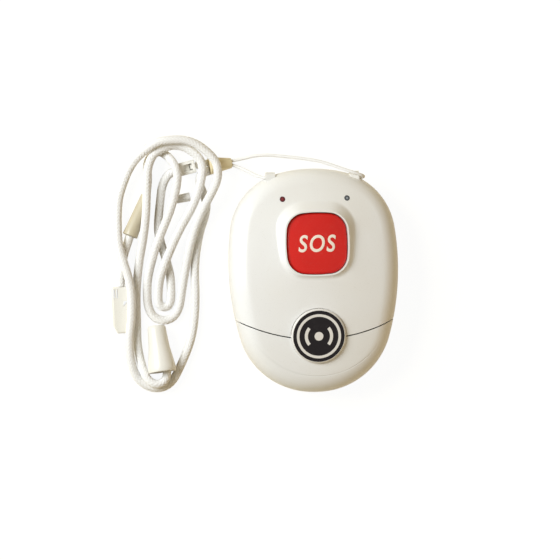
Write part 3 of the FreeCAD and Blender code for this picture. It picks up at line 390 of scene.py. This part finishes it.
def woven(name, yarn, gap_shade_and_soil, strands, pitch, width):
    """Braided yarn that follows the cord's own UV map, in metres and in turns, with shade
    painted into the gaps between the strands.
    """
    finish = Finish(name)
    run, turn = finish.along()
    first = turn * strands + run * (1.0 / pitch)
    second = turn * strands - run * (1.0 / pitch)
    over = ((first.floor() + second.floor()) % 4.0) < 1.5
    across = first.part() * over + second.part() * (1 - over)
    edge = abs(across - 0.5) * 2
    fibres = (across * (math.tau * FIBRES)).wave() * 0.5 + 0.5
    lint = finish.noise(1500.0, 3.0, 0.6)
    soil = finish.noise(70.0, 3.0)
    # Painted shade: the edges of each strand, where it dips between its neighbours, are
    # darkened towards the second colour.
    painted_gap_shade = edge.between(0.62, 1.0)
    tone = finish.mix(painted_gap_shade * 0.6, yarn, gap_shade_and_soil)
    # Fibre lines, lint and soil darken the yarn towards a deeper copy of that colour.
    tone = finish.mix(fibres * 0.08 + lint * 0.08 + soil.between(0.45, 0.7) * 0.10, tone,
                      tuple(0.88 * c for c in gap_shade_and_soil))
    finish.set(Base_Color=tone, Roughness=0.78 + lint * 0.12, Sheen_Weight=0.35,
               Sheen_Roughness=0.4, Specular_IOR_Level=0.3)
    finish.relief(1 - edge * edge * 0.8 + fibres * 0.18 + lint * 0.10, width * 0.018)
    return finish


# Pieces.
def pick(*objects):
    """Leaves only these selected, the first of them active."""
    for item in bpy.context.view_layer.objects:
        item.select_set(False)
    for item in objects:
        item.select_set(True)
    bpy.context.view_layer.objects.active = objects[0]


def dress(piece, finish, body):
    """Gives a piece its finish and its body."""
    piece.data.materials.clear()
    piece.data.materials.append(finish.material)
    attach(piece, body)


def repaint(node, finish):
    """Puts a finish on a node that keeps its packed shape."""
    node_object = frame["nodes"][node]
    node_object.data.materials.clear()
    node_object.data.materials.append(finish.material)
    for face in node_object.data.polygons:
        face.material_index = 0


def modify(piece, kind, **settings):
    """Adds one modifier to the active piece, sets it and applies it."""
    bpy.ops.object.modifier_add(type=kind)
    modifier = piece.modifiers[-1]
    for key, value in settings.items():
        setattr(modifier, key, value)
    bpy.ops.object.modifier_apply(modifier=modifier.name)


def welded(node, name, finish, angle=FLAT_SIDED, edge=0.0):
    """Smooth copy of a packed node, which it replaces, with its edges eased."""
    piece = bpy.data.objects.new(name, frame["nodes"][node].data.copy())
    bpy.context.scene.collection.objects.link(piece)
    pick(piece)
    bpy.ops.mesh.customdata_custom_splitnormals_clear()
    bpy.ops.object.mode_set(mode="EDIT")
    bpy.ops.mesh.select_all(action="SELECT")
    bpy.ops.mesh.remove_doubles(threshold=WELD)
    if edge:
        bpy.ops.mesh.dissolve_limited(angle_limit=LEVEL)
    bpy.ops.object.mode_set(mode="OBJECT")
    if edge:
        modify(piece, "BEVEL", width=edge, segments=2, limit_method="ANGLE", angle_limit=STEEP)
    bpy.ops.object.shade_smooth_by_angle(angle=angle)
    dress(piece, finish, BODY_OF[node])
    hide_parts(node)
    return piece


def route_line(points, name):
    """Points read along the smooth spline that has these control points."""
    line = bpy.data.curves.new(name + "_line", "CURVE")
    line.dimensions = "3D"
    spline = line.splines.new("NURBS")
    spline.points.add(len(points) - 1)
    for knot, point in zip(spline.points, points):
        knot.co = (*[c * MM for c in point], 1.0)
    spline.order_u = 3
    spline.use_endpoint_u = True
    spline.resolution_u = LINE_STEPS
    line.resolution_u = LINE_STEPS
    guide = bpy.data.objects.new(name + "_guide", line)
    bpy.context.scene.collection.objects.link(guide)
    bpy.context.view_layer.update()
    read = bpy.data.meshes.new_from_object(guide)
    found = [v.co.copy() for v in read.vertices]
    bpy.data.objects.remove(guide)
    bpy.data.curves.remove(line)
    bpy.data.meshes.remove(read)
    return found


def evenly(points, step):
    """The same line with points a step apart, and its length."""
    total = sum((b - a).length for a, b in zip(points, points[1:]))
    count = max(8, round(total / step))
    stride = total / count
    spaced = [points[0].copy()]
    walked = 0.0
    for a, b in zip(points, points[1:]):
        part = (b - a).length
        while len(spaced) < count and walked + part >= stride * len(spaced):
            spaced.append(a.lerp(b, (stride * len(spaced) - walked) / part))
        walked += part
    spaced.append(points[-1].copy())
    return spaced, total


def braid_height(first, second):
    """Height, 0 to 1, of the strand on top where two families of strands cross in twos."""
    cell = (math.floor(first) + math.floor(second)) % 4
    if cell < 2:
        across = first - math.floor(first)
        along = ((second + math.floor(first)) % 4) / 2
    else:
        across = second - math.floor(second)
        along = ((first + math.floor(second)) % 4 - 2) / 2
    arch = math.sqrt(max(0.0, 1 - (2 * across - 1) ** 2))
    rise = math.sqrt(max(0.0, math.sin(math.pi * min(max(along, 0.0), 1.0))))
    return STRAND_ARCH * arch + STRAND_DIVE * rise


def braid(name, line, width, strands, pitch, sides, step):
    """Braided tube along a line, with its UV map in metres and in turns."""
    spaced, total = evenly(line, step)
    depth = width * STRAND_DEPTH
    forward = (spaced[1] - spaced[0]).normalized()
    side = forward.cross(Vector((0.0, 0.0, 1.0))).normalized()
    vertices = []
    faces = []
    lay = []
    for n, point in enumerate(spaced):
        after = (spaced[min(n + 1, len(spaced) - 1)] - spaced[max(n - 1, 0)]).normalized()
        side = (forward.rotation_difference(after) @ side).normalized()
        forward = after
        up = side.cross(forward)
        run = total * n / (len(spaced) - 1)
        for k in range(sides):
            turn = k / sides
            height = braid_height(turn * strands + run / pitch, turn * strands - run / pitch)
            radius = width / 2 - depth * (1 - height)
            angle = 2 * math.pi * turn
            vertices.append(point + (side * math.cos(angle) + up * math.sin(angle)) * radius)
        if n:
            low, high = (n - 1) * sides, n * sides
            for k in range(sides):
                faces.append((low + k, high + k, high + (k + 1) % sides,
                              low + (k + 1) % sides))
                before = total * (n - 1) / (len(spaced) - 1)
                lay.extend([(before, k / sides), (run, k / sides), (run, (k + 1) / sides),
                            (before, (k + 1) / sides)])
    for end, ring in ((spaced[0], 0), (spaced[-1], (len(spaced) - 1) * sides)):
        middle = len(vertices)
        vertices.append(end)
        run = 0.0 if ring == 0 else total
        for k in range(sides):
            pair = (ring + k, ring + (k + 1) % sides)
            faces.append((middle, *pair) if ring == 0 else (middle, pair[1], pair[0]))
            lay.extend([(run, k / sides)] * 3)
    mesh = bpy.data.meshes.new(name)
    mesh.from_pydata(vertices, [], faces)
    layer = mesh.uv_layers.new(name="lay")
    for loop, pair in zip(layer.data, lay):
        loop.uv = pair
    mesh.validate()
    piece = bpy.data.objects.new(name, mesh)
    bpy.context.scene.collection.objects.link(piece)
    pick(piece)
    bpy.ops.object.mode_set(mode="EDIT")
    bpy.ops.mesh.select_all(action="SELECT")
    bpy.ops.mesh.normals_make_consistent(inside=False)
    bpy.ops.object.mode_set(mode="OBJECT")
    bpy.ops.object.shade_smooth()
    return piece, spaced, total


# Control points of each cord's spline, in millimetres.
ROUTES = {
    "neck_cord_inner": [
        (-38.45, 32.3, 1.6), (-40.5, 31.8, 1.6), (-42.5, 28.3, 1.4), (-43.1, 24.2, 1.3),
        (-44.1, 16.2, 1.3), (-43.4, 12.2, 1.3), (-41.0, 4.1, 1.3), (-40.5, 0.1, 1.3),
        (-40.7, -6.8, 1.3), (-44.5, -6.7, 1.3), (-44.1, 0.1, 2.0), (-43.1, 3.8, 3.6),
        (-41.7, 7.5, 4.0), (-38.1, 15.2, 3.9), (-33.2, 23.1, 4.0), (-30.7, 32.0, 4.7),
        (-31.8, 36.3, 4.7), (-38.0, 40.2, 3.9), (-44.6, 37.8, 4.0), (-46.5, 34.1, 4.1),
        (-47.1, 29.5, 4.4), (-47.4, 20.6, 4.8), (-48.3, 13.4, 3.7), (-49.7, 6.0, 1.5),
        (-50.7, -2.6, 1.3), (-50.6, -11.8, 1.3), (-50.7, -16.1, 1.3), (-50.2, -20.1, 1.3),
        (-49.4, -23.8, 1.9), (-48.3, -27.2, 3.2), (-45.9, -28.9, 3.9), (-43.3, -28.2, 3.9),
        (-42.2, -25.6, 3.9), (-42.85, -22.85, 3.8)],
    "neck_cord_outer": [
        (-28.85, 32.1, 2.1), (-31.25, 31.7, 1.95), (-31.9, 28.8, 1.4), (-30.7, 25.8, 1.3),
        (-29.7, 22.5, 1.3), (-30.4, 18.8, 1.3), (-32.1, 14.5, 1.3), (-33.8, 5.1, 1.3),
        (-33.5, -5.3, 1.3), (-34.7, -15.6, 1.3), (-38.6, -24.4, 1.3), (-41.2, -28.8, 1.3),
        (-45.0, -30.2, 1.3), (-48.9, -29.0, 1.3), (-51.9, -25.6, 1.4), (-53.3, -17.2, 3.3),
        (-52.1, -8.6, 3.9), (-52.2, 0.0, 3.9), (-54.9, 8.7, 3.9), (-55.7, 13.0, 3.4),
        (-55.5, 22.2, 2.4), (-54.6, 26.8, 2.4), (-51.2, 35.0, 3.2), (-45.2, 39.9, 5.5),
        (-41.7, 41.0, 6.4), (-34.2, 40.9, 6.7), (-27.8, 35.8, 6.7), (-26.6, 31.9, 6.5),
        (-27.3, 27.9, 5.7), (-31.4, 20.8, 4.1), (-34.7, 12.6, 3.6), (-37.3, -0.9, 1.5),
        (-38.5, -8.3, 1.3), (-41.8, -10.8, 1.3), (-45.7, -9.9, 1.3), (-47.4, -6.5, 1.3),
        (-47.5, -2.1, 1.3), (-47.2, 2.2, 1.5), (-45.1, 9.9, 3.5), (-43.5, 13.9, 3.9),
        (-40.0, 21.9, 3.9), (-38.0, 30.0, 4.7), (-38.9, 33.8, 4.7), (-40.7, 36.5, 2.2),
        (-43.1, 38.1, 1.3), (-45.5, 37.1, 1.3), (-46.8, 34.1, 1.3), (-46.4, 29.9, 1.4),
        (-47.14, 25.4, 1.55)],
    "link_cord": [
        (-52.1, 13.9, 2.2), (-53.4, 10.3, 1.5), (-54.9, 4.8, 1.3), (-55.1, -0.6, 1.3)],
    "cord_tail": [
        (-40.4, 24.2, 1.3), (-38.9, 24.1, 1.3), (-36.9, 24.4, 1.3), (-34.6, 24.8, 1.3)],
    "string_loop": [
        (-22.45, 34.8, 2.1), (-19.8, 35.3, 3.0), (-14.0, 36.5, 5.0), (-5.7, 35.4, 7.1),
        (1.8, 34.3, 8.6), (8.0, 31.9, 10.3), (11.6, 30.6, 11.3), (14.6, 29.6, 10.7),
        (14.8, 29.2, 8.8), (12.0, 29.1, 8.5), (5.0, 29.3, 8.7), (-5.0, 29.15, 8.5),
        (-12.0, 29.25, 8.6), (-15.6, 30.0, 7.8), (-19.0, 32.2, 5.0), (-22.35, 33.75, 2.1)],
}


# Operators, one for each group of pieces.
class PANIC_OT_housing(bpy.types.Operator):
    """Finish the front and rear mouldings and the sliding battery cover"""
    bl_idname = "panic.housing"
    bl_label = "Housing"

    def execute(self, context):
        look = context.scene.panic_housing
        plastic = moulded("satin_white_plastic", tuple(look.plastic), tuple(look.warm),
                          look.roughness, look.grain)
        welded("front_shell", "front_housing", plastic)
        welded("rear_shell", "rear_housing", plastic)
        cover = moulded("creased_white_plastic", tuple(look.plastic), tuple(look.warm),
                        look.roughness, look.grain)
        x, y, z = cover.axes()
        away = ((x - CREASE_X) ** 2.0 + (y - look.crease_y) ** 2.0).root()
        line = 1 - abs(away - look.crease_radius).between(*CREASE_EDGE)
        low = y.between(*CREASE_ENDS)
        front = z.between(*CREASE_FRONT)
        cover.relief(1 - line * low * front, CREASE_DEPTH)
        welded("battery_cap", "battery_cover", cover)
        return {"FINISHED"}


class PANIC_OT_button(bpy.types.Operator):
    """Finish the red button and set its raised letters"""
    bl_idname = "panic.button"
    bl_label = "Button"

    def execute(self, context):
        look = context.scene.panic_button
        red = moulded("red_button_plastic", tuple(look.red), tuple(look.deep), 0.34, 0.000014,
                      coat=0.08, shine=0.28)
        cap = welded("button_cap", "button_top", red)
        low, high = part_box("button_cap")
        middle = (low + high) / 2
        bpy.ops.object.text_add(location=(0.0, 0.0, 0.0))
        word = context.object
        word.name = "button_letters"
        word.data.body = "SOS"
        word.data.shear = look.letter_slant
        word.data.offset = LETTER_WEIGHT
        word.data.space_character = LETTER_SPACING
        word.data.resolution_u = LETTER_CURVES
        bpy.ops.object.convert(target="MESH")
        word = context.object
        xs = [v.co.x for v in word.data.vertices]
        ys = [v.co.y for v in word.data.vertices]
        wide = look.letter_width / (max(xs) - min(xs))
        tall = look.letter_height / (max(ys) - min(ys))
        word.data.transform(Matrix.Translation(
            (-(max(xs) + min(xs)) / 2, -(max(ys) + min(ys)) / 2, 0.0)))
        word.data.transform(Matrix.Diagonal((wide, tall, 1.0, 1.0)))
        word.data.transform(Matrix.Translation((middle.x, middle.y, high.z + ABOVE_BUTTON)))
        pick(word)
        bpy.ops.object.mode_set(mode="EDIT")
        bpy.ops.mesh.select_all(action="SELECT")
        bpy.ops.mesh.remove_doubles(threshold=LETTER_WELD)
        bpy.ops.mesh.quads_convert_to_tris()
        bpy.ops.mesh.subdivide(number_cuts=LETTER_CUTS)
        bpy.ops.object.mode_set(mode="OBJECT")
        modify(word, "SHRINKWRAP", target=cap, wrap_method="PROJECT", use_project_z=True,
               use_negative_direction=True, use_positive_direction=False, offset=0.0)
        modify(word, "SOLIDIFY", thickness=2 * look.letter_relief, offset=0.0)
        modify(word, "BEVEL", width=look.letter_relief * 0.4, segments=2,
               limit_method="ANGLE", angle_limit=math.radians(50))
        bpy.ops.object.shade_smooth_by_angle(angle=math.radians(40))
        cream = moulded("cream_letter_plastic", tuple(look.letters), (0.92, 0.78, 0.64), 0.32,
                        0.000008)
        dress(word, cream, "button")
        return {"FINISHED"}


class PANIC_OT_badge(bpy.types.Operator):
    """Finish the badge's disc and print a plain signal sign on it"""
    bl_idname = "panic.badge"
    bl_label = "Badge"

    def execute(self, context):
        look = context.scene.panic_badge
        disc = moulded("cream_disc_plastic", tuple(look.ground), (0.80, 0.76, 0.66), 0.25,
                       0.000006)
        welded("badge_disc", "badge_rim", disc)
        low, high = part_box("badge_inlay")
        middle = (low + high) / 2
        half = (high.y - low.y) / 2
        lean = math.asin(min(1.0, (high.z - low.z - INLAY_THICKNESS) / (2 * half)))
        ink = Finish("printed_badge")
        x, y, z = ink.axes()
        up = (y - middle.y) * math.cos(lean) + (z - middle.z) * math.sin(lean)
        away = (x ** 2.0 + up ** 2.0).root()

        def band(radius, width):
            return 1 - abs(away - radius).between(width / 2 - PRINT_EDGE,
                                                  width / 2 + PRINT_EDGE)

        ring = band(look.ring_radius, look.ring_width)
        sides = (abs(x) - abs(up) * ARC_OPENING).between(-PRINT_EDGE, PRINT_EDGE)
        arcs = band(look.arc_radius, look.arc_width) * sides
        dot = 1 - away.between(look.dot_radius - PRINT_EDGE, look.dot_radius + PRINT_EDGE)
        drawn = ring.at_least(arcs).at_least(dot)
        scuff = ink.noise(420.0, 4.0, 0.6)
        pores = ink.noise(6000.0, 1.0)
        worn = ink.mix(scuff.between(0.5, 0.85) * 0.35, tuple(look.ink), (0.05, 0.045, 0.045))
        ink.set(Base_Color=ink.mix(drawn, worn, tuple(look.ground)),
                Roughness=0.28 + scuff * 0.12, Coat_Weight=0.0, Coat_Roughness=0.1,
                Specular_IOR_Level=0.16)
        ink.relief(drawn * 0.6 + pores * 0.1, 0.00002)
        welded("badge_inlay", "badge_print", ink)
        return {"FINISHED"}


class PANIC_OT_lights(bpy.types.Operator):
    """Finish the two signal lights and their diodes"""
    bl_idname = "panic.lights"
    bl_label = "Lights"

    def execute(self, context):
        for node, name, slot, rim, core in (
                ("alert_light_lens", "alert_window", "red_lens", (0.10, 0.008, 0.010),
                 (0.24, 0.010, 0.014)),
                ("status_light_lens", "status_window", "grey_lens", (0.045, 0.052, 0.060),
                 (0.36, 0.39, 0.42))):
            low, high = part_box(node)
            middle = (low + high) / 2
            resin = Finish(name + "_resin")
            x, y = resin.axes()[:2]
            away = ((x - middle.x) ** 2.0 + (y - middle.y) ** 2.0).root()
            cloud = resin.noise(2500.0, 2.0)
            centre = 1 - away.between(*CORE_EDGE)
            resin.set(Base_Color=resin.mix(centre * 0.8 + cloud * 0.1, rim, core),
                      Roughness=0.16 + cloud * 0.08, Coat_Weight=0.25, Coat_Roughness=0.05,
                      Specular_IOR_Level=0.3)
            resin.relief(cloud, 0.00001)
            welded(node, name, resin, edge=WINDOW_ROUND)
        clear = Finish("diode_resin")
        haze = clear.noise(1800.0, 2.0)
        clear.set(Base_Color=clear.mix(haze, (0.80, 0.76, 0.60), (0.88, 0.86, 0.78)),
                  Roughness=0.15 + haze * 0.1, Coat_Weight=0.6)
        for node in ("alert_led", "status_led"):
            repaint(node, clear)
        return {"FINISHED"}


class PANIC_OT_inside(bpy.types.Operator):
    """Finish the circuit board, switch, cell, contacts and screws"""
    bl_idname = "panic.inside"
    bl_label = "Inside"

    def execute(self, context):
        mask = Finish("green_board")
        tracks = mask.add("ShaderNodeTexBrick", {"offset": 0.3},
                          {"Vector": mask.place(), "Scale": 420.0, "Mortar Size": 0.03,
                           "Color1": (0.0, 0.0, 0.0), "Color2": (0.0, 0.0, 0.0),
                           "Mortar": (1.0, 1.0, 1.0)}, output="Fac")
        weave = mask.noise(3200.0, 2.0)
        mask.set(Base_Color=mask.mix(tracks * 0.7 + weave * 0.15, (0.012, 0.10, 0.035),
                                     (0.06, 0.22, 0.07)),
                 Roughness=0.32 + weave * 0.15, Coat_Weight=0.4)
        mask.relief(tracks + weave * 0.3, 0.00002)
        repaint("circuit_board", mask)
        black = moulded("black_component_plastic", (0.016, 0.016, 0.018), (0.03, 0.03, 0.03),
                        0.42, 0.00002, coat=0.05)
        for node in ("controller_chip", "switch_body", "switch_plunger"):
            repaint(node, black)
        steel = metal("tinned_steel", (0.62, 0.61, 0.58), (0.40, 0.38, 0.34), 0.24,
                      (1.0, 0.2, 1.0))
        for node in ("radio_can", "battery_contact_negative", "battery_contact_positive"):
            repaint(node, steel)
        brass = metal("drawn_brass_wire", (0.72, 0.50, 0.20), (0.42, 0.28, 0.12), 0.25,
                      (1.0, 0.15, 1.0))
        welded("antenna_wire", "bowed_antenna", brass)
        jacket = Finish("printed_cell_jacket")
        x = jacket.axes()[0]
        grainy = jacket.noise(1200.0, 3.0)
        band = x.between(*BAND_START) * (1 - x.between(*BAND_END))
        jacket.set(Base_Color=jacket.mix(band, (0.60, 0.58, 0.55), (0.03, 0.07, 0.13)),
                   Roughness=0.28 + grainy * 0.12,
                   Metallic=0.75 - band * 0.6, Coat_Weight=0.5)
        jacket.relief(grainy, 0.00001)
        welded("battery_cell", "power_cell", jacket)
        zinc = metal("zinc_screw_steel", (0.56, 0.55, 0.52), (0.32, 0.31, 0.29), 0.30,
                     (1.0, 1.0, 0.2), 1600.0)
        for side in ("left", "right", "lower"):
            welded("screw_" + side, side + "_screw", zinc)
        return {"FINISHED"}


class PANIC_OT_fittings(bpy.types.Operator):
    """Finish the moulded fittings on the neck cord"""
    bl_idname = "panic.fittings"
    bl_label = "Fittings"

    def execute(self, context):
        look = context.scene.panic_fittings
        amber = moulded("amber_ferrule_plastic", tuple(look.amber), (0.80, 0.66, 0.38), 0.34,
                        0.00002)
        tan = moulded("tan_cone_plastic", tuple(look.tan), (0.57, 0.485, 0.32), 0.36, 0.00002)
        pale = moulded("pale_fitting_plastic", tuple(look.plastic), (0.78, 0.73, 0.60), 0.36,
                       0.00002)
        for node, name, finish, angle, edge in (
                ("string_ferrule", "string_cone", amber, ROUND_SIDED, look.edge),
                ("buckle_socket", "buckle_housing", pale, FLAT_SIDED, look.edge),
                ("buckle_plug", "buckle_tongue", pale, FLAT_SIDED, look.edge),
                ("cord_cap", "cord_cone", tan, ROUND_SIDED, look.edge),
                ("clasp_plug", "clasp_tongue", pale, FLAT_SIDED, 0.0),
                ("bell_joiner", "cord_bell", pale, ROUND_SIDED, look.edge)):
            welded(node, name, finish, angle, edge)
        return {"FINISHED"}


class PANIC_OT_cords(bpy.types.Operator):
    """Braid the neck cords and the thin string"""
    bl_idname = "panic.cords"
    bl_label = "Cords"

    def execute(self, context):
        look = context.scene.panic_lanyard
        # The second colour is painted shade between the strands, and the base of the soil tone.
        yarn, gap_shade_and_soil = tuple(look.yarn), tuple(look.gap_shade_and_soil)
        rope = woven("woven_cord_yarn", yarn, gap_shade_and_soil, CORD_STRANDS, look.cord_pitch,
                     look.cord_width)
        thin = woven("woven_string_yarn", yarn, gap_shade_and_soil, STRING_STRANDS, look.string_pitch,
                     look.string_width)
        made = {}
        for node, points in ROUTES.items():
            line = route_line(points, node)
            if node == "string_loop":
                piece, spaced, total = braid(
                    "thin_string", line, look.string_width, STRING_STRANDS,
                    look.string_pitch, STRING_SIDES, STRING_STEP)
                dress(piece, thin, BODY_OF[node])
            else:
                piece, spaced, total = braid(
                    "woven_" + node, line, look.cord_width, CORD_STRANDS,
                    look.cord_pitch, CORD_SIDES, CORD_STEP)
                dress(piece, rope, BODY_OF[node])
            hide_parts(node)
            made[node] = (piece, spaced, total)
        piece, spaced, total = made["neck_cord_inner"]
        [tuple(p) for p in spaced[:-4:4]] + [tuple(spaced[-1])]
        piece, spaced, total = made["neck_cord_outer"]
        [tuple(p) for p in spaced[:-4:4]] + [tuple(spaced[-1])]
        piece, spaced, total = made["string_loop"]
        [tuple(p) for p in spaced[:-3:3]] + [tuple(spaced[-1])]
        return {"FINISHED"}


class PANIC_OT_stage(bpy.types.Operator):
    """Lay the white floor, hang the lights and place the camera"""
    bl_idname = "panic.stage"
    bl_label = "Stage"

    def execute(self, context):
        look = context.scene.panic_stage
        pick(frame["nodes"]["front_shell"])
        bpy.ops.mesh.primitive_plane_add(size=FLOOR_SIZE, location=(0.0, 0.0, -FLOOR_BELOW))
        floor = context.object
        floor.name = "white_floor"
        paper = Finish("white_paper_floor")
        fibres = paper.noise(900.0, 3.0)
        paper.set(Base_Color=paper.mix(fibres, tuple(look.floor),
                                       tuple(0.985 * c for c in look.floor)),
                  Roughness=0.9, Specular_IOR_Level=0.1)
        rays = paper.nodes.new("ShaderNodeLightPath")
        seen = Value(paper, rays.outputs["Is Camera Ray"])
        through = Value(paper, rays.outputs["Is Transmission Ray"])
        mirrored = Value(paper, rays.outputs["Is Glossy Ray"])
        white_share = seen.at_least(through) * FLOOR_WHITE
        glow = paper.nodes.new("ShaderNodeEmission")
        glow.inputs["Color"].default_value = GLOW_COLOUR
        glow.inputs["Strength"].default_value = GLOW
        blend = paper.nodes.new("ShaderNodeMixShader")
        paper.plug(blend.inputs[0], white_share.at_least(mirrored * FLOOR_MIRRORED))
        paper.links.new(paper.shader.outputs[0], blend.inputs[1])
        paper.links.new(glow.outputs[0], blend.inputs[2])
        paper.links.new(blend.outputs[0], paper.nodes["Material Output"].inputs[0])
        floor.data.materials.append(paper.material)
        world = bpy.data.worlds.new("even_sky")
        context.scene.world = world
        world.use_nodes = True
        nodes, links = world.node_tree.nodes, world.node_tree.links
        even = nodes["Background"]
        even.inputs["Color"].default_value = SKY_COLOUR
        even.inputs["Strength"].default_value = look.sky
        white = nodes.new("ShaderNodeBackground")
        white.inputs["Color"].default_value = WHITE
        white.inputs["Strength"].default_value = 1.0
        path = nodes.new("ShaderNodeLightPath")
        plain_white = path.outputs["Is Camera Ray"]
        for ray in ("Is Glossy Ray", "Is Transmission Ray"):
            either = nodes.new("ShaderNodeMath")
            either.operation = "MAXIMUM"
            links.new(plain_white, either.inputs[0])
            links.new(path.outputs[ray], either.inputs[1])
            plain_white = either.outputs[0]
        shown = nodes.new("ShaderNodeMixShader")
        links.new(plain_white, shown.inputs[0])
        links.new(even.outputs[0], shown.inputs[1])
        links.new(white.outputs[0], shown.inputs[2])
        links.new(shown.outputs[0], nodes["World Output"].inputs[0])
        for name, place, size, power, colour in (
                ("large_light", (-0.52, 0.20, 0.45), 0.36, look.key_power, (0.90, 0.955, 1.0)),
                ("weak_light", (0.50, -0.16, 0.22), 0.50, look.fill_power, (1.0, 0.66, 0.30))):
            bpy.ops.object.light_add(type="AREA", location=place)
            lamp = context.object
            lamp.name = name
            lamp.data.size = size
            lamp.data.energy = power
            lamp.data.color = colour
            towards = Vector(LAMPS_AIM) - Vector(place)
            lamp.rotation_euler = towards.to_track_quat("-Z", "Y").to_euler()
        aim = Vector((look.look_x, look.look_y, look.look_z))
        back = Vector((-math.sin(look.lean), 0.0, math.cos(look.lean)))
        bpy.ops.object.camera_add(location=aim + back * look.away)
        camera = context.object
        up = Vector((math.sin(look.roll), math.cos(look.roll), 0.0))
        right = up.cross(back).normalized()
        up = back.cross(right)
        camera.matrix_world = Matrix.Translation(aim + back * look.away) @ Matrix(
            (right, up, back)).transposed().to_4x4()
        camera.data.lens = look.lens
        camera.data.sensor_width = FILM_WIDTH
        camera.data.clip_start = NEAREST
        context.scene.camera = camera
        context.scene.view_settings.view_transform = "Standard"
        return {"FINISHED"}


STEPS = (PANIC_OT_housing, PANIC_OT_button, PANIC_OT_badge, PANIC_OT_lights,
         PANIC_OT_inside, PANIC_OT_fittings, PANIC_OT_cords, PANIC_OT_stage)
LOOKS = {"panic_housing": HousingLook, "panic_button": ButtonLook, "panic_badge": BadgeLook,
         "panic_lanyard": LanyardLook, "panic_fittings": FittingLook,
         "panic_stage": StageLook}


class PANIC_PT_sidebar(bpy.types.Panel):
    """Steps that build the panic button"""
    bl_idname = "PANIC_PT_sidebar"
    bl_label = "Panic Button"
    bl_space_type = "VIEW_3D"
    bl_region_type = "UI"
    bl_category = "Panic Button"

    def draw(self, context):
        for step in STEPS:
            self.layout.operator(step.bl_idname)
        for key, group in LOOKS.items():
            box = self.layout.box()
            box.label(text=group.__doc__)
            for name in group.__annotations__:
                box.prop(getattr(context.scene, key), name)


def register():
    for group in LOOKS.values():
        bpy.utils.register_class(group)
    for step in STEPS:
        bpy.utils.register_class(step)
    bpy.utils.register_class(PANIC_PT_sidebar)
    for key, group in LOOKS.items():
        setattr(bpy.types.Scene, key, bpy.props.PointerProperty(type=group))


def unregister():
    for key in LOOKS:
        delattr(bpy.types.Scene, key)
    bpy.utils.unregister_class(PANIC_PT_sidebar)
    for step in reversed(STEPS):
        bpy.utils.unregister_class(step)
    for group in reversed(list(LOOKS.values())):
        bpy.utils.unregister_class(group)


def main():
    register()
    bpy.ops.panic.housing()
    bpy.ops.panic.button()
    bpy.ops.panic.badge()
    bpy.ops.panic.lights()
    bpy.ops.panic.inside()
    bpy.ops.panic.fittings()
    bpy.ops.panic.cords()
    bpy.ops.panic.stage()


if __name__ == "__main__":
    main()
